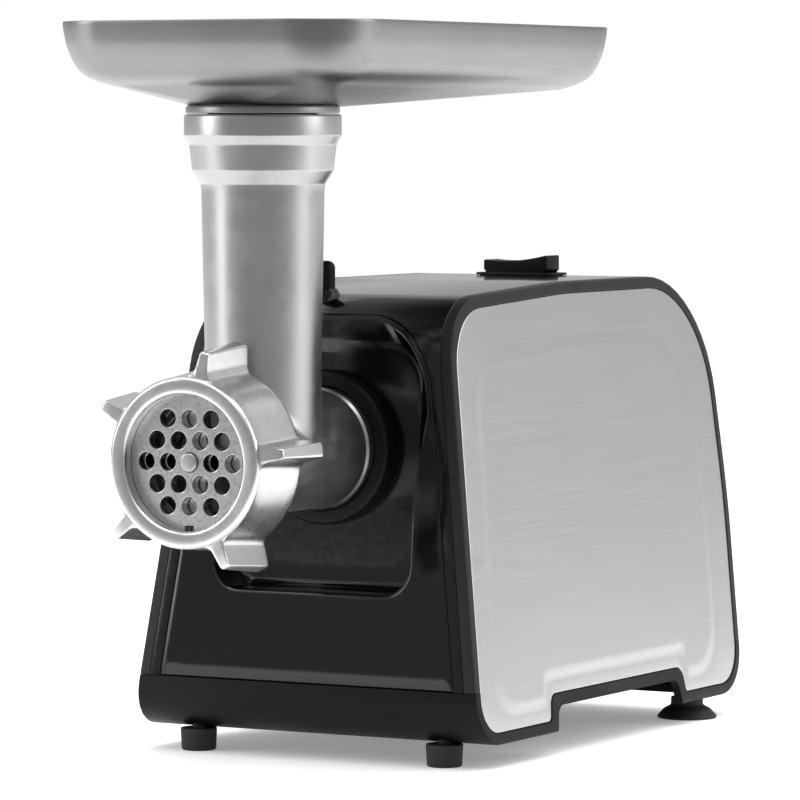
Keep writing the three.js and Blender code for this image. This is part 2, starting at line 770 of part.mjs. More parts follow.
// ---------------------------------------------------------------- gears

// Involute gear outline in the X-Z plane. A tooth, or a gap, is centred on +Z.
function gearOutline(module, teeth, gapOnTop, flankPoints = 3) {
  const pitch = module * teeth / 2;
  const base = pitch * Math.cos(20 * degrees);
  const tip = pitch + module;
  const root = pitch - 1.25 * module;
  const involute = (radius) => {
    const reach = Math.sqrt(Math.max(0, (radius / base) ** 2 - 1));
    return reach - Math.atan(reach);
  };
  const halfTooth = Math.PI / 2 / teeth - backlash / 2 / pitch + involute(pitch);
  const low = Math.max(base, root);
  const flank = Array.from({ length: flankPoints }, (_, k) => {
    const radius = low + (tip - low) * k / (flankPoints - 1);
    return [radius, halfTooth - involute(radius)];
  });
  const start = Math.PI / 2 + (gapOnTop ? Math.PI / teeth : 0);
  const points = [];
  for (let tooth = 0; tooth < teeth; tooth += 1) {
    const centre = start + 2 * Math.PI * tooth / teeth;
    const rising = [[root, flank[0][1]], ...flank.slice(1)];
    rising.forEach(([radius, half]) => points.push([radius, centre - half]));
    rising.reverse().forEach(([radius, half]) => points.push([radius, centre + half]));
  }
  return points.map(([radius, angle]) => [radius * Math.cos(angle), radius * Math.sin(angle)]);
}

const outputFront = gearboxFront + 6.5;
const outputRear = outputFront + 12;
const wheelFront = outputRear + 3;
const wheelRear = wheelFront + 8;
const seatFlats = 12.4;

function outputGear() {
  const web = turnedY(rodProfile(24, outputFront - 1, outputFront + 3, 12), 40);
  const seat = prismY(polygon(4, seatFlats + 2 * seatGap), outputFront - 2, outputRear + 2);
  return prismY(gearOutline(coarseModule, outputTeeth, true, 2), outputFront, outputRear)
    .subtract(web)
    .subtract(seat);
}

// Hexagonal cup for the auger's tail, front journal, square seat for the gear and rear journal.
const journalRadius = 9;

function driveShaft() {
  const cup = rodY(14, spigotRear + 0.6, gearboxFront - 0.6, 0, 0, 32);
  const hollow = prismY(polygon(6, driveHexFlats), spigotRear, gearboxFront - 2);
  return cup
    .subtract(hollow)
    .add(rodY(journalRadius, gearboxFront - 1, outputFront - seatGap, 0, 0, 32))
    .add(prismY(polygon(4, seatFlats), outputFront - 1, outputRear + 1))
    .add(rodY(5, outputRear, gearboxRear - 1, 0, 0));
}

function clusterGear() {
  return prismY(gearOutline(coarseModule, clusterPinionTeeth, false), outputFront - 1, wheelFront + 1)
    .add(prismY(gearOutline(fineModule, clusterWheelTeeth, true, 2), wheelFront, wheelRear))
    .subtract(turnedY(rodProfile(20, wheelFront + 3, wheelRear + 1, 9), 32))
    .subtract(rodY(axleRadius + runningGap, 0, bodyLength, 0, 0));
}

function clusterAxle() {
  return rodY(axleRadius, gearboxFront + 0.5, gearboxRear - 1, 0, 0);
}

function motorPinion() {
  return prismY(gearOutline(fineModule, pinionTeeth, false), wheelFront - 1, wheelRear + 1)
    .subtract(rodY(pinionShaftRadius + 0.1, 0, bodyLength, 0, 0));
}

// ---------------------------------------------------------------- gearbox

const gearboxLow = motorAxis - axisHeight - 14;
const bushRadius = 12;

function gearboxOutline(inset) {
  const half = gearboxHalfWidth - inset;
  return rectangle(-half, half, gearboxLow + inset, gearboxHalfWidth - inset, Math.max(8 - inset, 2));
}

function subtractCornerHoles(solid, from, to, radius) {
  let drilled = solid;
  for (const x of [-cornerHole, cornerHole]) {
    for (const z of [-cornerHole, cornerHole]) {
      drilled = drilled.subtract(rodY(radius, from, to, x, z, 10));
    }
  }
  return drilled;
}

function gearboxCover() {
  const plate = prismY(gearboxOutline(0), gearboxFront, gearboxFront + 4)
    .subtract(rodY(bushRadius + seatGap, 0, bodyLength, 0, 0, 32))
    .subtract(rodY(axleRadius + seatGap, 0, bodyLength, 0, clusterAxis - axisHeight));
  return subtractCornerHoles(plate, gearboxFront - 1, gearboxFront + 5, 2.3);
}

function gearboxHousing() {
  const front = gearboxFront + 4 + seatGap;
  const cup = prismY(gearboxOutline(0), front, gearboxRear)
    .subtract(prismY(gearboxOutline(gearboxWall), front - 1, gearboxRear - 4));
  let housing = cup
    .add(rodY(9, gearboxRear - 8, gearboxRear - 1, 0, 0))
    .add(rodY(8, gearboxRear - 7, gearboxRear - 1, 0, clusterAxis - axisHeight));
  for (const x of [-cornerHole, cornerHole]) {
    for (const z of [-cornerHole, cornerHole]) {
      const boss = rodY(screwBossRadius, front, gearboxRear - 1, x, z, 12);
      housing = housing.add(boss.intersect(prismY(gearboxOutline(0.5), front, gearboxRear)));
    }
  }
  const floor = baseFloorTop + seatGap - axisHeight;
  for (const [, side] of sides) {
    const [low, high] = outwards(side, screwX - 6, screwX + 8);
    housing = housing.add(block(low, high, gearboxRear - 16, gearboxRear, floor, gearboxLow + 2));
    housing = housing.subtract(rodZ(2.1, floor - 1, floor + 11, side * screwX, frontScrewY, 12));
  }
  housing = housing
    .subtract(rodY(5 + runningGap, 0, bodyLength, 0, 0))
    .subtract(rodY(axleRadius + seatGap, 0, gearboxRear - 0.7, 0, clusterAxis - axisHeight))
    .subtract(rodY(7.5, 0, bodyLength, 0, motorAxis - axisHeight));
  return subtractCornerHoles(housing, front - 1, gearboxRear - 6, 1.9);
}

function gearboxScrew(x, z) {
  const head = gearboxFront - seatGap - flangeThickness - seatGap;
  return turnedY(screwProfile(head, 1.7, 26), 10).translate(x, 0, z);
}

// ---------------------------------------------------------------- motor

const bearingRadius = 8;
const commutatorY = stackRear + 12;
const commutatorLength = 14;
const commutatorRadius = 11;

function motorShaft() {
  return rodY(motorShaftRadius, bracketFront - 0.5, rearBracketY + 6, 0, 0)
    .add(rodY(pinionShaftRadius, wheelFront - 2, bracketFront + 1, 0, 0));
}

function armatureCore() {
  let core = turnedY(rodProfile(armatureRadius, stackY, stackRear), 36)
    .add(rodY(16, stackY - 7, stackRear + 8, 0, 0, 24));
  for (let k = 0; k < 12; k += 1) {
    const slot = block(-1.4, 1.4, stackY - 1, stackRear + 1, 14.5, armatureRadius + 2).rotate([0, 30 * k, 0]);
    core = core.subtract(slot);
  }
  return core.subtract(rodY(motorShaftRadius + 0.1, 0, bodyLength, 0, 0));
}

function commutator() {
  return rodY(commutatorRadius, commutatorY, commutatorY + commutatorLength, 0, 0, 32)
    .subtract(rodY(motorShaftRadius + 0.1, 0, bodyLength, 0, 0));
}

function coolingFan() {
  let fan = rodY(8, fanY, fanY + 9, 0, 0).add(rodY(fanRadius, fanY, fanY + 1.6, 0, 0, 32));
  const blades = 9;
  for (let k = 0; k < blades; k += 1) {
    fan = fan.add(block(-0.7, 0.7, fanY + 0.8, fanY + 9, 10, fanRadius - 1).rotate([0, 360 * k / blades, 0]));
  }
  return fan.subtract(rodY(motorShaftRadius + 0.1, 0, bodyLength, 0, 0));
}

// Two-pole stator: the bore and two winding windows leave a pole on the left and one on the right.
const windowLow = 15;
const windowHigh = statorHalfHeight - 8;

function statorCore() {
  const windowHalf = statorHalfWidth - 7;
  const outline = rectangle(-statorHalfWidth, statorHalfWidth, -statorHalfHeight, statorHalfHeight, 10);
  return prismY(outline, stackY, stackRear)
    .subtract(rodY(armatureRadius + 1, 0, bodyLength, 0, 0, 32))
    .subtract(block(-windowHalf, windowHalf, 0, bodyLength, windowLow, windowHigh))
    .subtract(block(-windowHalf, windowHalf, 0, bodyLength, -windowHigh, -windowLow));
}

function statorCoil(side) {
  const middle = (stackY + stackRear) / 2;
  const inner = [stackLength / 2 + 0.4, windowLow + 0.3];
  const outer = [stackLength / 2 + 8, windowHigh - 0.5];
  const ring = (half, radius, x0, x1) => prismX(
    rectangle(middle - half[0], middle + half[0], -half[1], half[1], radius), x0, x1,
  );
  const [low, high] = outwards(side, armatureRadius + 3, statorHalfWidth - 8);
  return ring(outer, 7, low, high).subtract(ring(inner, 1, -wide, wide));
}

const armInner = statorHalfWidth - 5.7;
const bracketHalfHeight = 16;

function bracketPlateAt(from) {
  const outline = rectangle(-statorHalfWidth, statorHalfWidth, -bracketHalfHeight, bracketHalfHeight, 4);
  return prismY(outline, from, from + bracketPlate);
}

function bracketArms(from, to) {
  return block(-statorHalfWidth, -armInner, from, to, -11, 11)
    .add(block(armInner, statorHalfWidth, from, to, -11, 11));
}

function frontBracket() {
  return bracketPlateAt(bracketFront)
    .add(bracketArms(bracketFront + 1, stackY - seatGap))
    .subtract(rodY(bearingRadius + seatGap, 0, bodyLength, 0, 0, 20));
}

function rearBracket() {
  const floor = baseFloorTop + seatGap - motorAxis;
  let bracket = bracketPlateAt(rearBracketY).add(bracketArms(stackRear + seatGap, rearBracketY + 1));
  for (const [, side] of sides) {
    const [low, high] = outwards(side, screwX - 6, screwX + 8);
    const leg = block(low, high, rearBracketY, rearBracketY + bracketPlate, floor, -12);
    const pad = block(low, high, rearFootY - 7, rearFootY + 7, floor, floor + 12);
    const hole = rodZ(2.1, floor - 1, floor + 11, side * screwX, rearFootY, 12);
    bracket = bracket.add(leg).add(pad).subtract(hole);
  }
  return bracket.subtract(rodY(bearingRadius + seatGap, 0, bodyLength, 0, 0, 20));
}

function motorBearing(y) {
  return turnedY(rodProfile(bearingRadius, y, y + 5, motorShaftRadius + 0.1), 20);
}

function brushHolder(side) {
  const middle = commutatorY + commutatorLength / 2;
  const [low, high] = outwards(side, commutatorRadius + 2, armInner - seatGap);
  return block(low, high, middle - 6, middle + 6, -5, 5)
    .subtract(block(-armInner + 3, armInner - 3, middle - 4.3, middle + 4.3, -3.3, 3.3));
}

function carbonBrush(side) {
  const middle = commutatorY + commutatorLength / 2;
  const [low, high] = outwards(side, commutatorRadius + seatGap, commutatorRadius + 16);
  return block(low, high, middle - 4, middle + 4, -3, 3);
}

// ---------------------------------------------------------------- grinding head

const seatDepth = plateThickness + seatGap;
const chamberRear = plateFace + seatDepth + 9;
const tailWall = spigotRear - 6;
const tailJournal = 9.9;
const squareFlats = 8.2;

// Barrel with the plate's seat in front, the feed tube on top and the bayonet spigot behind.
function headCasting() {
  const rim = plateFace + 1;
  const outside = [
    [0, rim], [threadRadius - 0.6, rim], [threadRadius, rim + 1], [threadRadius, rim + 21],
    [threadRadius - 2.6, rim + 24], [barrelRadius + 3, rim + 30], [barrelRadius, rim + 44],
    [barrelRadius, socketFront - 5], [spigotRadius, socketFront - 3.5],
    [spigotRadius, spigotRear], [0, spigotRear],
  ];
  const bore = [
    [0, rim - 1], [plateRadius + seatGap, rim - 1], [plateRadius + seatGap, plateFace + seatDepth],
    [bladeChamber, plateFace + seatDepth], [bladeChamber, chamberRear], [barrelBore, chamberRear],
    [barrelBore, tailWall], [tailJournal + runningGap, tailWall],
    [tailJournal + runningGap, spigotRear + 1], [0, spigotRear + 1],
  ];
  const tubeOutside = [
    [0, 0], [feedTubeRadius - 0.5, 0], [feedTubeTopRadius, feedTubeHeight - 32],
    [bandRadius, feedTubeHeight - 25], [bandRadius, feedTubeHeight - 14],
    [rimRadius, feedTubeHeight - 10.5], [rimRadius, feedTubeHeight - 1],
    [rimRadius - 0.8, feedTubeHeight], [0, feedTubeHeight],
  ];
  const tubeInside = [
    [0, 0], [tubeBore, 0], [tubeBore, feedTubeHeight - 40], [tubeBore + tubeSeat, feedTubeHeight - 22],
    [tubeBore + tubeSeat, feedTubeHeight + 1], [0, feedTubeHeight + 1],
  ];
  let casting = turnedY(outside).add(turnedZ(tubeOutside, 0, feedTubeY));
  for (const angle of lugAngles) {
    const band = turnedY(rodProfile(spigotRadius + lugHeight, lugFront, lugRear, spigotRadius - 1));
    const span = prismY(sector(angle, lugHalfAngle, socketRadius), lugFront - 1, lugRear + 1);
    casting = casting.add(band.intersect(span));
  }
  const pinNotch = block(-2.2, 2.2, lugRear - 2.4, lugRear + 1, spigotRadius + 0.3, socketRadius);
  const key = block(-2, 2, rim + 0.5, plateFace + seatDepth + 1, -plateRadius - 1, 2.8 - plateRadius);
  return casting
    .subtract(turnedY(bore))
    .subtract(turnedZ(tubeInside, 0, feedTubeY))
    .subtract(pinNotch)
    .add(key);
}

// The flight is a lobe on the core's outline, turned steadily along the axis.
function auger() {
  const flightFront = chamberRear + 0.6;
  const flightRear = tailWall - 8;
  const core = 9.5;
  const around = 14;
  const outline = [];
  for (let k = 0; k < around; k += 1) {
    const angle = 2 * Math.PI * k / around;
    const lobe = THREE.MathUtils.smoothstep(Math.cos(angle), 0.72, 0.97);
    const radius = core + (augerRadius - core) * lobe;
    outline.push(new THREE.Vector2(radius * Math.cos(angle), radius * Math.sin(angle)));
  }
  const length = flightRear - flightFront;
  const steps = Math.ceil(8 * length / augerPitch);
  const options = { depth: length, steps, bevelEnabled: false };
  const screw = new THREE.ExtrudeGeometry(new THREE.Shape(outline), options);
  const place = screw.attributes.position;
  for (let i = 0; i < place.count; i += 1) {
    const turn = 2 * Math.PI * place.getZ(i) / augerPitch;
    const [x, y] = [place.getX(i), place.getY(i)];
    place.setXY(i, x * Math.cos(turn) - y * Math.sin(turn), x * Math.sin(turn) + y * Math.cos(turn));
  }
  screw.rotateX(-Math.PI / 2).translate(0, flightFront, 0);
  const shaftProfile = [
    [0, chamberRear - 1.3], [core - 1, chamberRear - 1.3], [core - 1, flightRear - 2], [13, flightRear - 1],
    [13, tailWall - 4.2], [tailJournal, tailWall - 4.2], [tailJournal, spigotRear], [0, spigotRear],
  ];
  return solidFrom(screw)
    .add(turnedY(shaftProfile, 32))
    .add(prismY(polygon(4, squareFlats), plateFace + seatDepth + 0.4, chamberRear))
    .add(rodY(plateHoleRadius + 0.2, plateFace - 1.6, plateFace + seatDepth + 1, 0, 0))
    .add(prismY(polygon(6, driveHexFlats - 2 * seatGap), spigotRear - 1, gearboxFront - 2.5));
}

function augerWasher() {
  return turnedY(rodProfile(augerRadius - 3, tailWall - 3.6, tailWall - seatGap, tailJournal + 0.2), 24);
}

function cuttingBlade() {
  const front = plateFace + seatDepth + 0.4;
  const rear = chamberRear - 1.6;
  const reach = bladeChamber - 1.5;
  let blade = rodY(9.5, front, rear, 0, 0, 32);
  for (let k = 0; k < 4; k += 1) {
    const arm = prismY([[-4.6, 6], [5.4, 6], [3.2, reach], [-4.6, reach - 2]], front, rear - 1.5);
    blade = blade.add(arm.rotate([0, 90 * k, 0]));
  }
  return blade.subtract(prismY(polygon(4, squareFlats + 2 * seatGap), front - 1, rear + 1));
}

// Rows of 3, 4, 5, 4 and 3 holes; the middle one of all takes the auger's pin.
function grindingPlate() {
  const [from, to] = [plateFace - 1, plateFace + plateThickness + 1];
  let plate = rodY(plateRadius, plateFace, plateFace + plateThickness, 0, 0, 32);
  for (let row = -2; row <= 2; row += 1) {
    const count = 5 - Math.abs(row);
    for (let k = 0; k < count; k += 1) {
      const x = (k - (count - 1) / 2) * plateHolePitch;
      const z = row * plateHolePitch * Math.sqrt(3) / 2;
      const isPin = row === 0 && k === 2;
      const radius = isPin ? plateHoleRadius + 0.45 : plateHoleRadius;
      plate = plate.subtract(rodY(radius, from, to, x, z, isPin ? 20 : 8));
    }
  }
  return plate.subtract(block(-2.3, 2.3, from, to, -plateRadius - 2, 3.2 - plateRadius));
}

function lockingRing() {
  const rear = ringFront + ringDepth;
  const inner = threadRadius + seatGap;
  const profile = [
    [plateRadius - 1, plateFace - seatGap], [plateRadius - 1, ringFront + 1.6],
    [plateRadius + 0.4, ringFront], [threadRadius + 1, ringFront],
    [threadRadius + 2.6, ringFront + 0.9], [threadRadius + 3.3, ringFront + 3],
    [threadRadius + 6.1, rear - 3], [threadRadius + 5.4, rear], [inner, rear], [inner, plateFace - seatGap],
  ];
  let ring = turnedY(profile);
  for (let k = 0; k < ringLugs; k += 1) {
    const lug = prismY(
      rounded([[-7.4, threadRadius + 2, 0.5], [7.4, threadRadius + 2, 0.5], [3.4, ringLugRadius, 2.8],
        [-3.4, ringLugRadius, 2.8]], 30),
      ringFront + 1.5, rear - 1,
    );
    ring = ring.add(lug.rotate([0, 90 - 6.3 - 360 * k / ringLugs, 0]));
  }
  return ring;
}

// ---------------------------------------------------------------- hopper tray

const trayRim = feedTubeHeight + trayNeckHeight + trayDepthFront + 10.4;
const trayRear = trayFront + trayLength;

// One closed ring of the pan: a rounded rectangle moved in from the rim.
function trayRing(inset, height) {
  const radius = Math.max(trayCorner - inset, 10);
  const half = trayHalfWidth - inset;
  const ring = rounded([
    [-half, trayFront + inset, radius], [half, trayFront + inset, radius],
    [half, trayRear - inset, radius], [-half, trayRear - inset, radius],
  ], 20);
  return ring.map(([x, y]) => new THREE.Vector3(x, y, height(y)));
}

// The ring round the neck has as many points as the others, evenly on a circle.
function neckRing(count, radius, z) {
  return Array.from({ length: count }, (_, k) => {
    const angle = Math.PI + 2 * Math.PI * (k + 0.5) / count;
    return new THREE.Vector3(radius * Math.cos(angle), feedTubeY + radius * Math.sin(angle), z);
  });
}

// Rings joined one to the next, the last to the first, make a closed sheet.
function ringSheet(rings) {
  const count = rings[0].length;
  const points = rings.flat();
  const index = [];
  for (let r = 0; r < rings.length; r += 1) {
    const next = (r + 1) % rings.length;
    for (let k = 0; k < count; k += 1) {
      const [a, b] = [r * count + k, r * count + (k + 1) % count];
      const [c, d] = [next * count + k, next * count + (k + 1) % count];
      index.push(a, b, d, a, d, c);
    }
  }
  const geometry = new THREE.BufferGeometry().setFromPoints(points);
  geometry.setIndex(index);
  return solidFrom(geometry);
}

function hopperTray() {
  const depthAt = (y) => THREE.MathUtils.lerp(trayDepthFront, trayDepthRear, (y - trayFront) / trayLength);
  const neckTop = feedTubeHeight + trayNeckHeight;
  const wallRings = (skin) => [
    trayRing(skin, () => trayRim),
    trayRing(2.2 + skin, (y) => trayRim - 0.45 * depthAt(y)),
    trayRing(6.5 + skin, (y) => trayRim - 0.78 * depthAt(y) + skin / 2),
    trayRing(13 + skin, (y) => trayRim - 0.95 * depthAt(y) + skin),
    trayRing(22, (y) => trayRim - 1.05 * depthAt(y) + skin),
  ];
  const floorHole = feedTubeRadius + 2;
  const under = wallRings(0);
  const count = under[0].length;
  const over = wallRings(traySheet);
  const pan = ringSheet([
    ...under, neckRing(count, floorHole, neckTop - 0.9),
    neckRing(count, floorHole, neckTop + traySheet - 0.9),
    ...over.reverse(),
  ]);
  const neckRadius = tubeBore + tubeSeat - seatGap;
  const collarRadius = rimRadius - 0.8;
  const neck = turnedZ([
    [neckRadius - 1.6, feedTubeHeight - 12], [neckRadius, feedTubeHeight - 12],
    [neckRadius, feedTubeHeight + seatGap], [collarRadius, feedTubeHeight + seatGap],
    [collarRadius, neckTop - 0.4], [collarRadius - 1.8, neckTop + 1.1], [neckRadius - 1.6, neckTop + 1.1],
  ], 0, feedTubeY);
  return pan.add(neck);
}

// ---------------------------------------------------------------- assembly

addPiece(grinder, 'base_tray', satinBlack, baseTray());
addPiece(grinder, 'main_shell', glossBlack, mainShell());
addPiece(grinder, 'front_cover', glossBlack, frontCover());
for (const [name, side] of sides) {
  addPiece(grinder, `${name}_side_frame`, darkGrey, sideFrame(side));
  addPiece(grinder, `${name}_side_panel`, brushedSteel, sidePanel(side));
  addPiece(grinder, `front_foot_${name}`, blackRubber, frontFoot(side));
  addPiece(grinder, `rear_suction_foot_${name}`, blackRubber, suctionFoot(side));
  addPiece(grinder, `gearbox_foot_screw_${name}`, toolSteel, baseScrew(side, frontScrewY));
  addPiece(grinder, `motor_foot_screw_${name}`, toolSteel, baseScrew(side, rearFootY));
}
addPiece(grinder, 'cord_gland', blackRubber, cordGland());

addPiece(grinder, 'switch_bezel', satinBlack, switchBezel());
addPiece(grinder, 'switch_body', greyPlastic, switchBody());
addPiece(grinder, 'rocker_switch', satinBlack, rockerSwitch());

addPiece(headAxisGroup, 'head_socket', satinBlack, headSocket());
addPiece(headAxisGroup, 'lock_pin', toolSteel, lockPin());
addPiece(grinder, 'release_button', satinBlack, releaseButton());
addPiece(grinder, 'button_spring', toolSteel, buttonSpring());

addPiece(headAxisGroup, 'gearbox_cover', castAluminium, gearboxCover());
addPiece(headAxisGroup, 'gearbox_housing', castAluminium, gearboxHousing());
[[-1, 1], [1, 1], [-1, -1], [1, -1]].forEach(([x, z], i) => {
  addPiece(headAxisGroup, `gearbox_screw_${i + 1}`, toolSteel, gearboxScrew(x * cornerHole, z * cornerHole));
});
addPiece(headAxisGroup, 'output_bushing', bronze, turnedY(
  rodProfile(bushRadius, gearboxFront + 0.2, gearboxFront + 5.6, journalRadius + runningGap), 24,
));
addPiece(headAxisGroup, 'output_gear', nylon, outputGear());
addPiece(headAxisGroup, 'drive_shaft', toolSteel, driveShaft());
addPiece(clusterGroup, 'cluster_gear', nylon, clusterGear());
addPiece(clusterGroup, 'cluster_axle', toolSteel, clusterAxle());
addPiece(motorGroup, 'motor_pinion', toolSteel, motorPinion());

addPiece(motorGroup, 'motor_shaft', toolSteel, motorShaft());
addPiece(motorGroup, 'armature_core', laminations, armatureCore());
addPiece(motorGroup, 'commutator', copper, commutator());
addPiece(motorGroup, 'cooling_fan', greyPlastic, coolingFan());
addPiece(motorGroup, 'stator_core', laminations, statorCore());
addPiece(motorGroup, 'motor_front_bracket', castAluminium, frontBracket());
addPiece(motorGroup, 'motor_rear_bracket', castAluminium, rearBracket());
addPiece(motorGroup, 'motor_front_bearing', toolSteel, motorBearing(bracketFront - 1));
addPiece(motorGroup, 'motor_rear_bearing', toolSteel, motorBearing(rearBracketY - 1));
for (const [name, side] of sides) {
  addPiece(motorGroup, `stator_coil_${name}`, copper, statorCoil(side));
  addPiece(motorGroup, `brush_holder_${name}`, greyPlastic, brushHolder(side));
  addPiece(motorGroup, `carbon_brush_${name}`, carbon, carbonBrush(side));
}

addPiece(headAxisGroup, 'head_casting', castAluminium, headCasting());
addPiece(headAxisGroup, 'auger', castAluminium, auger());
addPiece(headAxisGroup, 'auger_washer', nylon, augerWasher());
addPiece(headAxisGroup, 'cutting_blade', brushedSteel, cuttingBlade());
addPiece(headAxisGroup, 'grinding_plate', brushedSteel, grindingPlate());
addPiece(headAxisGroup, 'locking_ring', castAluminium, lockingRing());
addPiece(headAxisGroup, 'hopper_tray', brushedSteel, hopperTray());

// The middle of the whole machine, from the ring's front to the housing's rearmost point.
const rearmost = Math.max(...rounded(housingCorners).map(([y]) => y));
grinder.position.y = -(ringFront + rearmost) / 2;

export default grinder;
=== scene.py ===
import json
import math

import bmesh
import bpy
from mathutils import Matrix, Vector


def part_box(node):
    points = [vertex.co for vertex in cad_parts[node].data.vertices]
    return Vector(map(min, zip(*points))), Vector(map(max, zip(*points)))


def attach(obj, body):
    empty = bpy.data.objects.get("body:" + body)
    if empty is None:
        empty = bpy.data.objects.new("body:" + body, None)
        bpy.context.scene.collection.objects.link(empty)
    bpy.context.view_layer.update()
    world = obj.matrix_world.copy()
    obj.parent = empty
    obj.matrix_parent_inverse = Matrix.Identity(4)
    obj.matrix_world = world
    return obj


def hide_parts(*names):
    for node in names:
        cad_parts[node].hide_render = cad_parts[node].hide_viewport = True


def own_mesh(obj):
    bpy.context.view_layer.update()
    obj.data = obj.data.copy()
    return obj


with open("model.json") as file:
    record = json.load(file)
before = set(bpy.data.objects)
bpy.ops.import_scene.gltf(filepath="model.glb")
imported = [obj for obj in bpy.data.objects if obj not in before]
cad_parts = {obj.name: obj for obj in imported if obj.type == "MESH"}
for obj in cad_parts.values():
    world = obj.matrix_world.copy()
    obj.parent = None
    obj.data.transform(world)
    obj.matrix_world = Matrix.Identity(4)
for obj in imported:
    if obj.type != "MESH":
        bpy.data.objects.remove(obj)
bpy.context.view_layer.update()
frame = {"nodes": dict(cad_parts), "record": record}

# ---------------------------------------------------------------- base moulding
# The tray that everything stands on: one satin black ABS moulding, open underneath, with a finger
# recess in each side. The shells drop onto its edge, and the feet press into it from below.
# All sizes are in millimetres; y is measured from the line where the housing's front meets the table.

MM = 0.001
HEAD_REACH = 102.7
FOOT_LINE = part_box("locking_ring")[0].y / MM + HEAD_REACH
UNDERSIDE = 10.6
SEAM = 35.3
ROOF = 215.7
BODY_LENGTH = 287.0
BULGE_HEIGHT = 105.0
FLOOR_HALF_WIDTH = 93.0
SIDE_SLOPE = math.tan(math.radians(7.6))
FRONT_SLOPE = math.tan(math.radians(5.4))
REAR_LEAN = math.radians(5.3)
REAR_FOOT = BODY_LENGTH - (BULGE_HEIGHT - UNDERSIDE) * math.tan(REAR_LEAN)
GAP = 0.3
FAR = 400.0

# The housing seen from its right side, as corners (y, z, radius), anticlockwise.
HOUSING = [
    (UNDERSIDE * FRONT_SLOPE, UNDERSIDE, 20),
    (REAR_FOOT, UNDERSIDE, 25),
    (BODY_LENGTH, BULGE_HEIGHT, 400),
    (BODY_LENGTH - 1.3, ROOF, 60),
    (135, ROOF, 400),
    ((ROOF - 5.5) * FRONT_SLOPE, ROOF - 5.5, 36),
]


def half_width(z):
    """Half of the housing's width at a height, between its leaning sides."""
    return FLOOR_HALF_WIDTH - z * SIDE_SLOPE


def outline(corners, inset=0.0, arc=12):
    """The points of a closed outline with rounded corners, moved inwards by the inset."""
    count = len(corners)
    edges = []
    for (u0, v0, _), (u1, v1, _) in zip(corners, corners[1:] + corners[:1]):
        along = Vector((u1 - u0, v1 - v0)).normalized()
        edges.append((Vector((u0 - along.y * inset, v0 + along.x * inset)), along))
    points = []
    for i in range(count):
        (start, before), (onward, after) = edges[i - 1], edges[i]
        cross = before.x * after.y - before.y * after.x
        apart = onward - start
        corner = start + before * ((apart.x * after.y - apart.y * after.x) / cross)
        turn = math.copysign(1, cross)
        bend = before.angle(after)
        radius = corners[i][2]
        if radius == 0:
            points.append(corner)
            continue
        radius = max(radius - turn * inset, 0.2)
        first = corner - before * radius * math.tan(bend / 2)
        centre = first + Vector((-before.y, before.x)) * turn * radius
        angle = math.atan2(first.y - centre.y, first.x - centre.x)
        for k in range(arc + 1):
            a = angle + turn * bend * k / arc
            points.append(centre + radius * Vector((math.cos(a), math.sin(a))))
    return [tuple(p) for p in points]


def loft(rings, closed=False):
    """A closed solid through rings of equal count; its ends are capped, or joined if closed."""
    bm = bmesh.new()
    rows = [[bm.verts.new(p) for p in ring] for ring in rings]
    pairs = list(zip(rows, rows[1:]))
    if closed:
        pairs.append((rows[-1], rows[0]))
    for low, high in pairs:
        for k in range(len(low)):
            n = (k + 1) % len(low)
            bm.faces.new((low[k], low[n], high[n], high[k]))
    if not closed:
        bm.faces.new(rows[0])
        bm.faces.new(rows[-1])
    bmesh.ops.recalc_face_normals(bm, faces=bm.faces)
    return bm


def quarter(radius, steps=4):
    """(inset, depth) pairs of a rounded edge, from the face to the side."""
    turns = [math.pi / 2 * k / steps for k in range(steps + 1)]
    return [(radius * (1 - math.sin(t)), radius * (1 - math.cos(t))) for t in turns]


def between_sides(inset, side_inset, rounding):
    """The housing's volume: its outline and its leaning sides, each moved inwards."""
    rim = quarter(rounding)
    levels = [(i, -1, d) for i, d in rim] + [(i, 1, d) for i, d in reversed(rim)]
    rings = []
    for extra, side, depth in levels:
        points = outline(HOUSING, inset + extra)
        rings.append([(side * (half_width(z) - side_inset - depth), y, z) for y, z in points])
    return loft(rings)


def carve(bm, tools, operation="DIFFERENCE"):
    """Cuts the tools from a solid, or joins them to it, and clears needless points away."""
    def hold(solid):
        mesh = bpy.data.meshes.new("tool")
        solid.to_mesh(mesh)
        solid.free()
        holder = bpy.data.objects.new("tool", mesh)
        bpy.context.scene.collection.objects.link(holder)
        return holder

    target = hold(bm)
    held = [hold(tool) for tool in tools]
    for tool in held:
        cut = target.modifiers.new("cut", "BOOLEAN")
        cut.operation = operation
        cut.solver = "MANIFOLD"
        cut.object = tool
    graph = bpy.context.evaluated_depsgraph_get()
    mesh = bpy.data.meshes.new_from_object(target.evaluated_get(graph))
    result = bmesh.new()
    result.from_mesh(mesh)
    for used in (target, *held):
        bpy.data.objects.remove(used)
    bmesh.ops.remove_doubles(result, verts=result.verts, dist=0.005)
    bmesh.ops.dissolve_limit(
        result, angle_limit=math.radians(0.4), verts=result.verts, edges=result.edges
    )
    return result


def block(low, high):
    """A plain box between two corners, only ever used to cut with or as a hidden stiffener."""
    bm = bmesh.new()
    bmesh.ops.create_cube(bm, size=1)
    size = Vector(high) - Vector(low)
    middle = (Vector(high) + Vector(low)) / 2
    bm.transform(Matrix.Translation(middle) @ Matrix.Diagonal((*size, 1)))
    return bm


def soften(bm, width, least=40, segments=2):
    """Rounds every edge that is sharper than an angle."""
    sharp = [
        e for e in bm.edges
        if len(e.link_faces) == 2 and e.calc_face_angle(0) > math.radians(least)
    ]
    bmesh.ops.bevel(
        bm, geom=sharp, offset=width, segments=segments, profile=0.5,
        affect="EDGES", clamp_overlap=True,
    )
    return bm


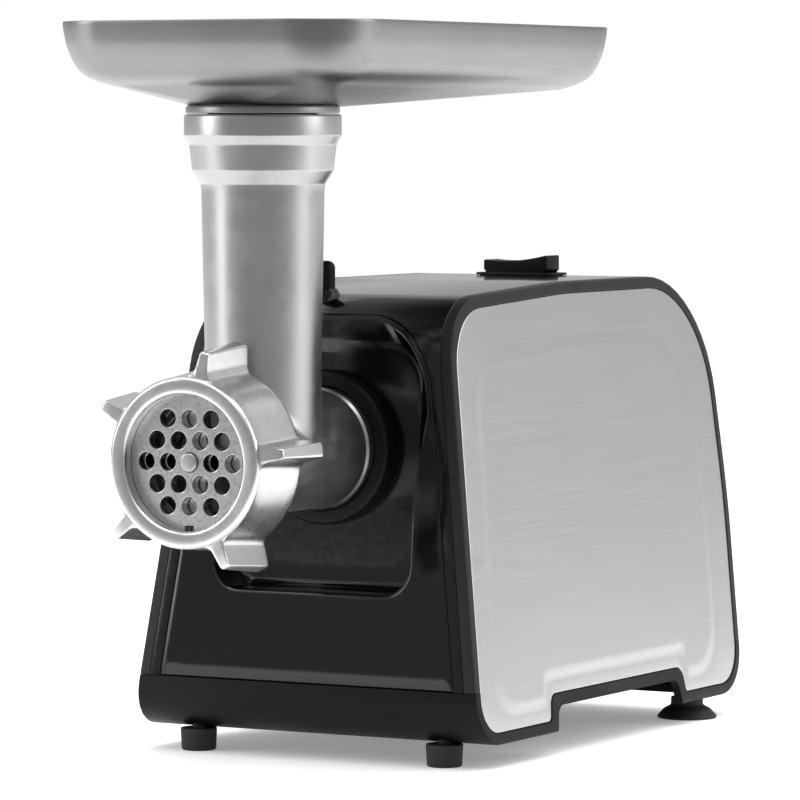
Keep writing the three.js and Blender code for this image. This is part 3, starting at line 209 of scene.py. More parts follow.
def linear(hex_colour):
    """An sRGB hex colour as linear RGBA."""
    channels = [int(hex_colour[i:i + 2], 16) / 255 for i in (0, 2, 4)]
    curved = [c / 12.92 if c <= 0.04045 else ((c + 0.055) / 1.055) ** 2.4 for c in channels]
    return (*curved, 1)


def add(tree, kind, inputs=None, **settings):
    """Adds a node, with its settings, its values and its links."""
    made = tree.nodes.new(kind)
    for name, value in settings.items():
        setattr(made, name, value)
    for name, value in (inputs or {}).items():
        if isinstance(value, bpy.types.NodeSocket):
            tree.links.new(value, made.inputs[name])
        else:
            made.inputs[name].default_value = value
    return made


def material(name, colour, metallic, roughness, ior=None, **sockets):
    """A Principled material, with its tree, its shader and the object's coordinates."""
    made = bpy.data.materials.new(name)
    made.use_nodes = True
    tree = made.node_tree
    shader = tree.nodes["Principled BSDF"]
    shader.inputs["Base Color"].default_value = linear(colour)
    shader.inputs["Metallic"].default_value = metallic
    shader.inputs["Roughness"].default_value = roughness
    if ior:
        shader.inputs["IOR"].default_value = ior
    for socket, value in sockets.items():
        shader.inputs[socket.replace("_", " ")].default_value = value
    where = add(tree, "ShaderNodeTexCoord").outputs["Object"]
    return made, tree, shader, where


def noise(tree, where, size_mm, detail=3.0, stretch=(1, 1, 1)):
    """Noise whose grain has a real size, stretched along the axes."""
    scale = [1 / (size_mm * MM * s) for s in stretch]
    grid = add(tree, "ShaderNodeMapping", {"Vector": where, "Scale": scale})
    return add(tree, "ShaderNodeTexNoise", {
        "Vector": grid.outputs["Vector"], "Scale": 1.0, "Detail": detail,
    }).outputs["Fac"]


def spread(tree, value, low, high):
    """Maps noise, which stays near its middle, onto a range."""
    return add(tree, "ShaderNodeMapRange", {
        "Value": value, "From Min": 0.3, "From Max": 0.7, "To Min": low, "To Max": high,
    }).outputs["Result"]


def tint(tree, shader, value, dark, light):
    """Lets noise shift the base colour between two close hex colours."""
    mix = add(tree, "ShaderNodeMix", data_type="RGBA")
    tree.links.new(value, mix.inputs[0])
    mix.inputs[6].default_value = linear(dark)
    mix.inputs[7].default_value = linear(light)
    tree.links.new(mix.outputs[2], shader.inputs["Base Color"])


def relief(tree, shader, height, depth_mm, strength=1.0):
    """Raises the surface by a pattern of a real depth."""
    bump = add(tree, "ShaderNodeBump", {
        "Height": height, "Distance": depth_mm * MM, "Strength": strength,
    })
    tree.links.new(bump.outputs["Normal"], shader.inputs["Normal"])


# Satin black ABS, moulded in a spark-eroded tool: a fine even grain that breaks up its shine.
satin_black, tree, shader, where = material(
    "satin black ABS", "0c0c0d", 0.0, 0.44, 1.5, Specular_IOR_Level=0.14,
)
grain = noise(tree, where, 0.7, 2)
relief(tree, shader, grain, 0.03, 0.5)
tree.links.new(spread(tree, noise(tree, where, 35), 0.36, 0.5), shader.inputs["Roughness"])
tint(tree, shader, noise(tree, where, 60), "0a0a0b", "0f0f10")


def piece(name, bm, finish, body, slot, *stands_for, sharp=32):
    """Puts a finished solid in its place in metres, shades it and says what it rides on."""
    bm.transform(Matrix.Scale(MM, 4) @ Matrix.Translation((0, FOOT_LINE, 0)))
    mesh = bpy.data.meshes.new(name)
    bm.to_mesh(mesh)
    bm.free()
    mesh.shade_smooth()
    mesh.set_sharp_from_angle(angle=math.radians(sharp))
    mesh.materials.append(finish)
    made = bpy.data.objects.new(name, mesh)
    bpy.context.scene.collection.objects.link(made)
    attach(made, body)
    if stands_for:
        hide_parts(*stands_for)
    return made


GRIP_FRONT, GRIP_REAR, GRIP_TOP, GRIP_FLARE = 82.0, 207.0, 22.5, 6.0
BASE_WALL, BASE_FLOOR, BASE_FLOOR_TOP = 4.0, 24.0, 27.0
PANEL_INSET, PANEL_DEPTH = 5.5, 1.5


def grip(margin):
    """The finger recess seen from the side, grown by a margin."""
    low, high = GRIP_FRONT - margin, GRIP_REAR + margin
    top = GRIP_TOP + margin
    return [(low - GRIP_FLARE, -1, 0.5), (high + GRIP_FLARE, -1, 0.5), (high, top, 6), (low, top, 6)]


# The steel panel's outline: the housing's, moved in, with a notch over the finger recess.
panel_foot = UNDERSIDE + PANEL_INSET
notch_low, notch_high = GRIP_FRONT - 5.8, GRIP_REAR + 5.8
notch_top = GRIP_TOP + 5.8


def moved_in(corners, inset):
    """Corners of an outline moved inwards, with their radii."""
    sharp = outline([(u, v, 0) for u, v, _ in corners], inset)
    return [(u, v, max(r - inset, 0.5)) for (u, v), (_, _, r) in zip(sharp, corners)]


def panel_corners(inset):
    """The panel's corners. Its lower edge is notched between the first corner and the second."""
    around = moved_in(HOUSING, PANEL_INSET + inset)
    foot = panel_foot + inset
    lean = GRIP_FLARE * (notch_top - foot) / (notch_top + 1)
    return [
        around[0],
        (notch_low - lean - inset, foot, 3),
        (notch_low - inset, notch_top + inset, 6),
        (notch_high + inset, notch_top + inset, 6),
        (notch_high + lean + inset, foot, 3),
        *around[1:],
    ]


def side_slab(corners, side, near, far):
    """An outline on a leaning side, from one depth under its face to another."""
    points = outline(corners)
    return loft([[(side * (half_width(z) - w), y, z) for y, z in points] for w in (near, far)])


pockets = [side_slab(panel_corners(-GAP), side, -30, PANEL_DEPTH + GAP + 0.3) for side in (-1, 1)]
grips = [side_slab(grip(0), side, -30, 8) for side in (-1, 1)]
inner = between_sides(BASE_WALL, BASE_WALL, 0.2)
floor_slot = block((-FAR, -FAR, BASE_FLOOR), (FAR, FAR, BASE_FLOOR_TOP))
hollow = carve(inner, [floor_slot])
underside = block((-FAR, 23, -1), (FAR, REAR_FOOT - 26, BASE_FLOOR))
skirt_core = carve(between_sides(-30, BASE_WALL, 0.2), [underside], "INTERSECT")
base = carve(
    between_sides(0, 0, 1.4),
    [block((-FAR, -FAR, SEAM - 0.15), (FAR, FAR, FAR)), hollow, skirt_core, *pockets, *grips],
)
piece(
    "base_moulding", soften(base, 0.35), satin_black, "housing", "satin_black_abs", "base_tray", sharp=20,
)

# ---------------------------------------------------------------- side frames and steel panels
# Each side is a dark grey ABS frame that closes the housing, with a shallow pocket in its face.
# A brushed stainless panel, pressed with a low raised field, is bonded into the pocket.

FRAME_THICKNESS = 5.5
FRAME_WALL = 4.0

# Matte grey ABS, moulded in a finely blasted tool.
dark_grey, tree, shader, where = material(
    "matte grey ABS", "1e1e1f", 0.0, 0.5, 1.53, Specular_IOR_Level=0.22,
)
relief(tree, shader, noise(tree, where, 0.8, 2), 0.03, 0.5)
tint(tree, shader, noise(tree, where, 50), "1b1b1c", "212122")

# Brushed stainless sheet: belt-ground scratches run along the machine and break up the shine across
# them. They are drawn 0.35 mm wide and 56 mm long, coarser than real ones, which wouldn't show.
brushed_steel, tree, shader, where = material("brushed stainless", "bebebe", 1.0, 0.34)
scratches = noise(tree, where, 0.35, 3, (1, 160, 1))
relief(tree, shader, scratches, 0.006, 0.5)
tint(tree, shader, noise(tree, where, 0.6, 3, (1, 110, 1)), "b7b7b7", "c5c5c5")
tree.links.new(spread(tree, scratches, 0.3, 0.4), shader.inputs["Roughness"])

# The raised field's edge lies further in at the top and the rear than at the front.
FIELD_FRONT, FIELD_TOP, FIELD_REAR, FIELD_FOOT = 16.0, 22.0, 23.0, 9.0
FIELD_SLOPE, FIELD_RISE = 7.0, 0.5


def field_corners(extra):
    """The raised field's outline, with one corner for each of the panel's."""
    inner = panel_corners(extra)
    left = inner[0][0] + FIELD_FRONT
    right = inner[5][0] - FIELD_REAR
    foot = inner[0][1] + FIELD_FOOT
    front_top = inner[9]
    notch_side = FIELD_FOOT * 0.5
    return [
        (left, foot, 16),
        (inner[1][0] - notch_side, foot, 3),
        (inner[2][0] - notch_side, inner[2][1] + FIELD_FOOT, 6),
        (inner[3][0] + notch_side, inner[3][1] + FIELD_FOOT, 6),
        (inner[4][0] + notch_side, foot, 3),
        (right, foot, 24),
        (inner[6][0] - FIELD_REAR, inner[6][1], 400),
        (inner[7][0] - FIELD_REAR, inner[7][1] - FIELD_TOP, 52),
        (inner[8][0], inner[8][1] - FIELD_TOP, 400),
        (front_top[0] + FIELD_FRONT, front_top[1] - FIELD_TOP, 26),
    ]


def side_ring(corners, side, depth):
    return [(side * (half_width(z) - depth), y, z) for y, z in outline(corners)]


for name, side in (("left", -1), ("right", 1)):
    rim = [(PANEL_INSET - GAP, PANEL_DEPTH + GAP), (PANEL_INSET - GAP, 0.35)]
    rim += [(PANEL_INSET - GAP - 0.35, 0)]
    rim += [(inset, depth) for inset, depth in quarter(1.4, 5)]
    rim += [(0, FRAME_THICKNESS), (PANEL_INSET, FRAME_THICKNESS), (PANEL_INSET, FRAME_WALL)]
    bm = loft([side_ring(moved_in(HOUSING, inset), side, depth) for inset, depth in rim])
    bm = carve(bm, [block((-FAR, -FAR, -FAR), (FAR, FAR, SEAM + 0.15))])
    piece(f"{name}_frame", bm, dark_grey, "housing", "dark_grey_abs", f"{name}_side_frame")

    edge = [(0.0, PANEL_DEPTH), (0.0, 0.75), (0.12, 0.5), (0.4, 0.35), (0.8, 0.3)]
    rings = [side_ring(panel_corners(inset), side, depth) for inset, depth in edge]
    for step in range(13):
        part = step / 12
        eased = part * part * (3 - 2 * part)
        rings.append(side_ring(
            field_corners((part - 0.5) * FIELD_SLOPE), side, 0.3 - FIELD_RISE * eased,
        ))
    piece(
        f"{name}_panel", loft(rings), brushed_steel, "housing", "brushed_stainless",
        f"{name}_side_panel", sharp=40,
    )

# ---------------------------------------------------------------- main shell and front cover
# One gloss black ABS shell makes the roof and the rear wall. The front cover closes the front with
# an arched seam, and a deep recess in it leaves room for the head to be turned and drawn off.

SHELL_WALL = 2.6
COVER_MARGIN, COVER_TOP, COVER_RADIUS = 11.0, 203.0, 38.0
BUTTON_X, BUTTON_Y, BUTTON_BORE = -12.0, 44.0, 5.0
SWITCH_Y = BODY_LENGTH - 71
ROCKER_LENGTH, ROCKER_WIDTH = 34.6, 14.0
SWITCH_ROOM_X, SWITCH_ROOM_Y = 2.4, 1.4
AXIS = 142.0
SOCKET_RADIUS = 35.2
RECESS_FLOOR, RECESS_WIDTH, RECESS_BOTTOM = 27.0, 102.0, 77.0
FLARE_START, FLARE_END = 122.0, 160.0

# Gloss black ABS from a polished tool: nearly a mirror, with a slow waviness and a little dust
# dulling it here and there.
gloss_black, tree, shader, where = material("gloss black ABS", "060607", 0.0, 0.16, 1.5)
relief(tree, shader, noise(tree, where, 28, 1), 0.05, 0.25)
tree.links.new(spread(tree, noise(tree, where, 3, 5), 0.1, 0.17), shader.inputs["Roughness"])
tint(tree, shader, noise(tree, where, 70), "050506", "08080a")


def revolve(profile, at=(0, 0), axis="Z", steps=72):
    """A closed profile of (radius, height) points, turned about an axis through a point."""
    bm = bmesh.new()
    rows = []
    for radius, height in profile:
        if radius < 1e-6:
            spot = (at[0], at[1], height) if axis == "Z" else (at[0], height, at[1])
            rows.append([bm.verts.new(spot)])
            continue
        row = []
        for k in range(steps):
            a = 2 * math.pi * k / steps
            u, v = at[0] + radius * math.cos(a), at[1] + radius * math.sin(a)
            row.append(bm.verts.new((u, v, height) if axis == "Z" else (u, height, v)))
        rows.append(row)
    pairs = list(zip(rows, rows[1:]))
    if len(rows[0]) > 1:
        pairs.append((rows[-1], rows[0]))
    for low, high in pairs:
        for k in range(steps):
            n = (k + 1) % steps
            corners = [low[k % len(low)], low[n % len(low)], high[n % len(high)], high[k % len(high)]]
            bm.faces.new(list(dict.fromkeys(corners)))
    bmesh.ops.recalc_face_normals(bm, faces=bm.faces)
    return bm


def seam_corners(grow):
    low = SEAM + 0.15
    half = half_width(low) - COVER_MARGIN + grow
    top = half_width(COVER_TOP) - COVER_MARGIN + grow
    return [
        (-half, low - grow, 0.5), (half, low - grow, 0.5),
        (top, COVER_TOP + grow, COVER_RADIUS), (-top, COVER_TOP + grow, COVER_RADIUS),
    ]


def oblong(half_x, half_y, y, radius):
    """A rectangle's corners about the middle plane, with one radius."""
    return [
        (-half_x, y - half_y, radius), (half_x, y - half_y, radius),
        (half_x, y + half_y, radius), (-half_x, y + half_y, radius),
    ]


def slab(corners, low, high, rounding, place, arc=10):
    """An outline drawn out between two places, with rounded edges at both ends."""
    near = [(inset, low + depth) for inset, depth in quarter(rounding)]
    far = [(inset, high - depth) for inset, depth in reversed(quarter(rounding))]
    levels = near + far
    return loft([[place(u, v, w) for u, v in outline(corners, inset, arc)] for inset, w in levels])


def upright(x, y, z):
    """Places an outline that is seen from above."""
    return (x, y, z)


skin = carve(between_sides(0, FRAME_THICKNESS + GAP, 0.25), [between_sides(SHELL_WALL, -2, 0.2)])
skin = carve(skin, [block((-FAR, -FAR, -FAR), (FAR, FAR, SEAM + 0.15))])
arch = loft([[(x, y, z) for x, z in outline(seam_corners(0))] for y in (-FAR, BODY_LENGTH / 2)])
switch_hole = slab(
    oblong(ROCKER_LENGTH / 2 + SWITCH_ROOM_X, ROCKER_WIDTH / 2 + SWITCH_ROOM_Y, SWITCH_Y, 1.5),
    ROOF - 20, ROOF + 20, 0.1, upright,
)
button_bore = revolve(
    [(0, 180), (BUTTON_BORE, 180), (BUTTON_BORE, ROOF + 20), (0, ROOF + 20)], (BUTTON_X, BUTTON_Y),
)
gland_bore = revolve([(0, 240), (6.7, 240), (6.7, 300), (0, 300)], (0, 66), "Y")
shell = soften(carve(skin, [arch, switch_hole, button_bore, gland_bore]), 0.45)
piece(
    "main_shell_moulding", shell, gloss_black, "housing", "gloss_black_abs", "main_shell", sharp=20,
)

collar = revolve(
    [(BUTTON_BORE, ROOF - 9.9), (9.5, ROOF - 9.9), (8.4, ROOF - 6), (6.6, ROOF - 3.6),
     (5.8, ROOF - 2.2), (5.6, ROOF - 1.8), (5.2, ROOF - 1.7), (BUTTON_BORE, ROOF - 1.9)],
    (BUTTON_X, BUTTON_Y), steps=64,
)
piece("button_collar", collar, gloss_black, "housing", "gloss_black_abs")

# The front of the housing in side view, to find how far back it lies at a height.
front_edge = sorted(
    (z, y) for y, z in outline(HOUSING, 0, 40) if y < BODY_LENGTH * 0.3 and z > UNDERSIDE + 12
)


def front_at(z):
    """How far back the housing's front lies at a height."""
    for (z0, y0), (z1, y1) in zip(front_edge, front_edge[1:]):
        if z0 <= z <= z1 and z1 > z0:
            return y0 + (y1 - y0) * (z - z0) / (z1 - z0)
    return front_edge[-1][1]


def evenly(points, count):
    """Points spaced evenly along an open line, without its last point."""
    lengths = [0.0]
    for a, b in zip(points, points[1:]):
        lengths.append(lengths[-1] + math.dist(a, b))
    spaced = []
    for k in range(count):
        at = lengths[-1] * k / count
        i = max(j for j, length in enumerate(lengths[:-1]) if length <= at + 1e-9)
        part = (at - lengths[i]) / max(lengths[i + 1] - lengths[i], 1e-9)
        (x0, z0), (x1, z1) = points[i], points[i + 1]
        spaced.append((x0 + (x1 - x0) * part, z0 + (z1 - z0) * part))
    return spaced


def mirrored_ring(right_corners, counts):
    """A ring that is the same on both sides, from the middle of its foot round to its top.

    The right side is given from foot to top; it is split where its outline turns the corner at
    its foot and at its top, so that two different outlines get matching points."""
    full = [*right_corners, *[(-x, z, r) for x, z, r in reversed(right_corners)]]
    steps = 14
    points = outline(full, 0, steps)
    first, last = steps + 1, (len(right_corners) - 1) * (steps + 1)
    foot_corner = points[:first]
    flank = points[first - 1:last + 1]
    top_corner = points[last:last + steps + 1]
    foot = [(0, foot_corner[0][1]), foot_corner[0]]
    top = [top_corner[-1], (0, top_corner[-1][1])]
    right = []
    for part, count in zip((foot, foot_corner, flank, top_corner, top), counts):
        right += evenly(part, count)
    middle = (0, top_corner[-1][1])
    return right + [middle] + [(-x, z) for x, z in reversed(right[1:])]


def shifted(ring, distance):
    """A ring of (x, z) points moved outwards along its own normals."""
    moved = []
    for k, (x, z) in enumerate(ring):
        (x0, z0), (x1, z1) = ring[k - 1], ring[(k + 1) % len(ring)]
        length = math.dist((x0, z0), (x1, z1))
        moved.append((x + (z1 - z0) / length * distance, z - (x1 - x0) / length * distance))
    return moved


# Points along half a ring: its foot, foot corner, flank, top corner and top.
COUNTS = (14, 10, 44, 16, 12)
seam_right = [(x, z, r) for x, z, r in seam_corners(-GAP) if x > 0]
seam_ring = mirrored_ring(seam_right, COUNTS)
recess_margin = COVER_MARGIN + SHELL_WALL + 1.5
recess_ring = mirrored_ring([
    (RECESS_WIDTH / 2, RECESS_BOTTOM, 13),
    (RECESS_WIDTH / 2, FLARE_START, 14),
    (half_width(FLARE_END) - recess_margin, FLARE_END, 16),
    (half_width(COVER_TOP) - recess_margin, COVER_TOP - SHELL_WALL, COVER_RADIUS - SHELL_WALL),
], COUNTS)
LIP, TUB_FILLET, DRAFT = 2.0, 4.5, 0.8
# The recess is about this deep at its lip and at its fillet, which turns both into shares of it.
LIP_ROOM, FILLET_ROOM = RECESS_FLOOR - 14, RECESS_FLOOR - 10
# One corner stands out by a hair, because an outline can't have three corners in line.
floor_half, hair = RECESS_WIDTH / 2 - DRAFT, 0.01
floor_ring = mirrored_ring([
    (floor_half, RECESS_BOTTOM + DRAFT, 13), (floor_half, FLARE_START, 2),
    (floor_half + hair, FLARE_END, 2), (floor_half, COVER_TOP - 14, 17),
], COUNTS)


def on_front(ring, behind=0.0):
    return [(x, front_at(z) + behind, z) for x, z in ring]


def in_recess(ring, depth, back=0.0):
    """A ring at a share of the way from the front's surface to the floor of the recess."""
    placed = []
    for x, z in ring:
        room = max(RECESS_FLOOR - front_at(z), 0)
        placed.append((x, front_at(z) + depth * room + back, z))
    return placed


def socket_ring(y):
    """The round hole for the head socket, with a point towards each point of the recess."""
    placed = []
    for x, z in recess_ring:
        a = math.atan2(z - AXIS, x)
        radius = SOCKET_RADIUS + GAP
        placed.append((radius * math.cos(a), y, AXIS + radius * math.sin(a)))
    return placed


def between(ring_a, ring_b, part):
    return [
        tuple(p + (q - p) * part for p, q in zip(a, b)) for a, b in zip(ring_a, ring_b)
    ]


rings = [on_front(seam_ring, SHELL_WALL), on_front(seam_ring, 0.6)]
rings += [on_front(shifted(seam_ring, -0.18), 0.18), on_front(shifted(seam_ring, -0.6))]
lip_outer = shifted(recess_ring, LIP)
for k in range(1, 7):
    rings.append(on_front(between(shifted(seam_ring, -0.6), lip_outer, k / 6)))
for k in range(1, 6):
    t = math.pi / 2 * k / 5
    ring = shifted(recess_ring, LIP * (1 - math.sin(t)))
    rings.append(in_recess(ring, LIP * (1 - math.cos(t)) / LIP_ROOM))
wall_end = 1 - TUB_FILLET / FILLET_ROOM
WALL_SHARE = 0.75
rings.append(in_recess(between(recess_ring, floor_ring, WALL_SHARE), wall_end))
for k in range(1, 6):
    t = math.pi / 2 * k / 5
    inwards = between(recess_ring, floor_ring, WALL_SHARE + (1 - WALL_SHARE) * math.sin(t))
    ring = shifted(inwards, -TUB_FILLET * (1 - math.cos(t)))
    rings.append(in_recess(ring, wall_end + (1 - wall_end) * math.sin(t)))
flat = rings[-1]
for k in range(1, 5):
    rings.append(between(flat, socket_ring(RECESS_FLOOR), k / 4))
rings.append(socket_ring(RECESS_FLOOR + SHELL_WALL))
rings.append(in_recess(recess_ring, 1, SHELL_WALL))
rings.append(in_recess(shifted(recess_ring, SHELL_WALL), 0, SHELL_WALL))
cover = loft(rings, closed=True)
piece("front_cover_moulding", cover, gloss_black, "housing", "gloss_black_abs", "front_cover")

# ---------------------------------------------------------------- feet and cord gland
# Two rubber pads carry the front and two suction cups the rear, each with a stem pressed into the
# base. A rubber gland in the rear wall guards the hole for the mains cord.

# Black rubber, moulded: dull, with a fine grain and paler scuffs.
black_rubber, tree, shader, where = material("moulded black rubber", "131314", 0.0, 0.72, 1.5)
relief(tree, shader, noise(tree, where, 0.9, 3), 0.05, 0.6)
tint(tree, shader, noise(tree, where, 6, 5), "101011", "1c1c1d")

FRONT_PAD, FRONT_PAD_X, FRONT_PAD_Y = 8.0, 64.8, 18.0
SUCTION_CUP, SUCTION_CUP_X, SUCTION_CUP_Y = 14.4, 77.5, BODY_LENGTH - 44
CUP_NECK = 7.85
STEM = [(3, UNDERSIDE - GAP, 0), (3, 16, 0.6), (0, 16, 0)]
for name, side in (("left", -1), ("right", 1)):
    pad = outline([
        (0, 0, 0), (FRONT_PAD, 0, 1), (FRONT_PAD + 0.5, UNDERSIDE - GAP, 0.5), *STEM,
    ], 0, 4)
    piece(
        f"front_foot_pad_{name}", revolve(pad, (side * FRONT_PAD_X, FRONT_PAD_Y), steps=48),
        black_rubber, "housing", "black_rubber", f"front_foot_{name}",
    )
    cup = outline([
        (0, 3.6, 0), (7, 2.8, 4), (11, 1.4, 6), (SUCTION_CUP - 1.2, 0, 0.5), (SUCTION_CUP, 0, 0.4),
        (SUCTION_CUP, 1.2, 0.5), (11.5, 4.4, 4), (CUP_NECK, 6.4, 1.5),
        (CUP_NECK, UNDERSIDE - GAP, 0.5), *STEM,
    ], 0, 4)
    piece(
        f"suction_cup_{name}", revolve(cup, (side * SUCTION_CUP_X, SUCTION_CUP_Y), steps=64),
        black_rubber, "housing", "black_rubber", f"rear_suction_foot_{name}",
    )

GLAND_HEIGHT = 66.0
gland = revolve(outline([
    (3.6, -SHELL_WALL - 5, 0.4), (6.4, -SHELL_WALL - 5, 0.5), (6.4, GAP, 0.2), (9, GAP, 0.4),
    (8.4, 2.3, 0.9), (3.6, 2.3, 0.6),
], 0, 4), (0, 0), "Y", 48)
wall_y = BODY_LENGTH - (BULGE_HEIGHT - GLAND_HEIGHT) * math.tan(REAR_LEAN)
gland.transform(
    Matrix.Translation((0, wall_y, GLAND_HEIGHT)) @ Matrix.Rotation(-REAR_LEAN, 4, "X")
)
bmesh.ops.recalc_face_normals(gland, faces=gland.faces)
piece("cord_gland_rubber", gland, black_rubber, "housing", "black_rubber", "cord_gland")

# ---------------------------------------------------------------- switch
# A snap-in bezel on the roof holds a rocker whose top is hollowed for a fingertip.

BEZEL_HALF_X, BEZEL_HALF_Y, BEZEL_RIM = ROCKER_LENGTH / 2 + 1.2, ROCKER_WIDTH / 2 + 0.4, 3.2
bezel_rings = []
for grow, height in (
    (0, -9), (0.9, -9), (0.9, GAP), (BEZEL_RIM, GAP), (BEZEL_RIM, GAP + 0.6),
    (BEZEL_RIM - 0.25, GAP + 1.05), (BEZEL_RIM - 0.7, GAP + 1.2), (0.4, GAP + 1.2), (0, GAP + 0.8),
):
    corners = oblong(BEZEL_HALF_X + grow, BEZEL_HALF_Y + grow * 0.5, SWITCH_Y, 0.3 + grow)
    bezel_rings.append([(x, y, ROOF + height) for x, y in outline(corners, 0, 8)])
piece(
    "rocker_bezel", loft(bezel_rings, closed=True), satin_black, "housing", "satin_black_abs",
    "switch_bezel",
)

ROCKER_PROUD, ROCKER_LEAN, ROCKER_DIP = 7.4, 1.2, 1.6
half = ROCKER_LENGTH / 2


def rocker_top(part):
    """The height of the rocker's hollowed top, from -1 at its left end to 1 at its right."""
    return ROOF + ROCKER_PROUD + ROCKER_LEAN * part + ROCKER_DIP * part ** 2


def along_y(x, z, y):
    """Places an outline that is seen from the front."""
    return (x, y, z)


rocker_corners = [
    (-9, ROOF - 6, 2), (9, ROOF - 6, 2), (half, ROOF + 3, 1.2), (half, rocker_top(1), 0.9),
    *[(half * k / 10, rocker_top(k / 10), 0) for k in range(8, -9, -1)],
    (-half, rocker_top(-1), 0.9), (-half, ROOF + 3, 1.2),
]
rocker = slab(
    rocker_corners, SWITCH_Y - ROCKER_WIDTH / 2, SWITCH_Y + ROCKER_WIDTH / 2, 0.6, along_y, 5,
)
piece("rocker_cap", rocker, satin_black, "rocker", "satin_black_abs", "rocker_switch", sharp=50)

# ---------------------------------------------------------------- head socket and release button
# A satin black collar on the gearbox takes the head's spigot. The button on the roof has an arm and
# a fork inside that draw the lock pin back as it is pressed.

SOCKET_BORE, SOCKET_FRONT, GEARBOX_FRONT, GEARBOX_HALF = 28.3, 18.0, 57.0, 36.97
sleeve = revolve(outline([
    (SOCKET_BORE, SOCKET_FRONT, 1.2), (SOCKET_RADIUS, SOCKET_FRONT, 2.2),
    (SOCKET_RADIUS, GEARBOX_FRONT - GAP, 0.5), (SOCKET_BORE, GEARBOX_FRONT - GAP, 0.5),
], 0, 6), (0, AXIS), "Y", 128)
piece("socket_sleeve", sleeve, satin_black, "housing", "satin_black_abs", "head_socket")
flange_outer = oblong(GEARBOX_HALF, GEARBOX_HALF, AXIS, 8)
flange = carve(
    slab(flange_outer, GEARBOX_FRONT - GAP - 4, GEARBOX_FRONT - GAP, 0.4, along_y),
    [revolve([(0, 40), (SOCKET_RADIUS - 1, 40), (SOCKET_RADIUS - 1, 70), (0, 70)], (0, AXIS), "Y")],
)
piece("socket_flange", flange, satin_black, "housing", "satin_black_abs")

BUTTON_RADIUS, BUTTON_TOP, ARM_FOOT, ARM_THICKNESS = 4.6, ROOF + 11, 186.0, 4.0
FORK_FRONT, FORK_REAR, FORK_FOOT, PRONG = 44.4, 52.2, 168.4, 2.3
SPRING_Y = 38.0
button = revolve(outline([
    (0, ARM_FOOT, 0), (BUTTON_RADIUS, ARM_FOOT, 0.3), (BUTTON_RADIUS, BUTTON_TOP, 3.4),
    (0, BUTTON_TOP, 0),
], 0, 8), (BUTTON_X, BUTTON_Y), steps=48)
arm = block(
    (BUTTON_X - BUTTON_RADIUS, SPRING_Y - 4, ARM_FOOT),
    (BUTTON_RADIUS, FORK_REAR, ARM_FOOT + ARM_THICKNESS),
)
prongs = [
    block((low, FORK_FRONT, FORK_FOOT), (low + PRONG, FORK_REAR, ARM_FOOT + 1))
    for low in (-BUTTON_RADIUS, PRONG)
]
# The slot slants, so that pressing the button by its travel draws the pin back by as much.
PRESS_TRAVEL, SLOT_HALF, SLOT_ROUND = 4.0, 1.4, 1.38
PIN_HEIGHT, PIN_Y = AXIS + 30.6, FORK_FRONT + 2
slot_reach = SLOT_HALF * math.sqrt(2)


def across(y, z, x):
    """Places an outline that is seen from the side."""
    return (x, y, z)


fork_slot = slab([
    (PIN_Y - slot_reach, PIN_HEIGHT, SLOT_ROUND),
    (PIN_Y, PIN_HEIGHT - slot_reach, SLOT_ROUND),
    (PIN_Y + PRESS_TRAVEL + slot_reach, PIN_HEIGHT + PRESS_TRAVEL, SLOT_ROUND),
    (PIN_Y + PRESS_TRAVEL, PIN_HEIGHT + PRESS_TRAVEL + slot_reach, SLOT_ROUND),
], -20, 20, 0.1, across)
button = carve(carve(button, [arm, *prongs], "UNION"), [fork_slot])
piece("release_button_cap", button, satin_black, "button", "satin_black_abs", "release_button")

# ---------------------------------------------------------------- grinding head
# One aluminium casting, tumbled to a satin: the barrel with its flared front for the plate, and the
# feed tube standing on it with a thickened band and rim. A fillet runs round where the two meet.

# Tumbled cast aluminium: a soft satin with a fine grain, and slow patches of duller metal.
cast_aluminium, tree, shader, where = material("tumbled cast aluminium", "b0b0b0", 1.0, 0.32)
relief(tree, shader, noise(tree, where, 0.6, 3), 0.008, 0.5)
tree.links.new(spread(tree, noise(tree, where, 9, 4), 0.3, 0.4), shader.inputs["Roughness"])
tint(tree, shader, noise(tree, where, 22, 4), "aaaaaa", "b6b6b6")

PLATE_FACE, PLATE_THICKNESS, PLATE_RADIUS = -96.2, 5.0, 31.0
THREAD_RADIUS, BARREL_RADIUS, SPIGOT_RADIUS = 34.6, 27.0, 28.0
SPIGOT_REAR = 44.0
TUBE_Y, TUBE_RADIUS, TUBE_TOP = -32.7, 26.0, 294.0
front = PLATE_FACE + 1
barrel = revolve(outline([
    (0, front, 0), (THREAD_RADIUS, front, 1), (THREAD_RADIUS, front + 21, 2),
    (THREAD_RADIUS - 2.6, front + 24.5, 3), (BARREL_RADIUS + 3, front + 30, 14),
    (BARREL_RADIUS, front + 44, 30), (BARREL_RADIUS, 13, 0.8), (SPIGOT_RADIUS, 14.5, 0.6),
    (SPIGOT_RADIUS, SPIGOT_REAR, 0.8), (0, SPIGOT_REAR, 0),
], 0, 6), (0, AXIS), "Y", 128)


def barrel_radius(y):
    """The barrel's radius under the feed tube, where it tapers towards the rear."""
    start, end = front + 30, front + 44
    part = min(max((y - start) / (end - start), 0), 1)
    return BARREL_RADIUS + 3 * (1 - part)


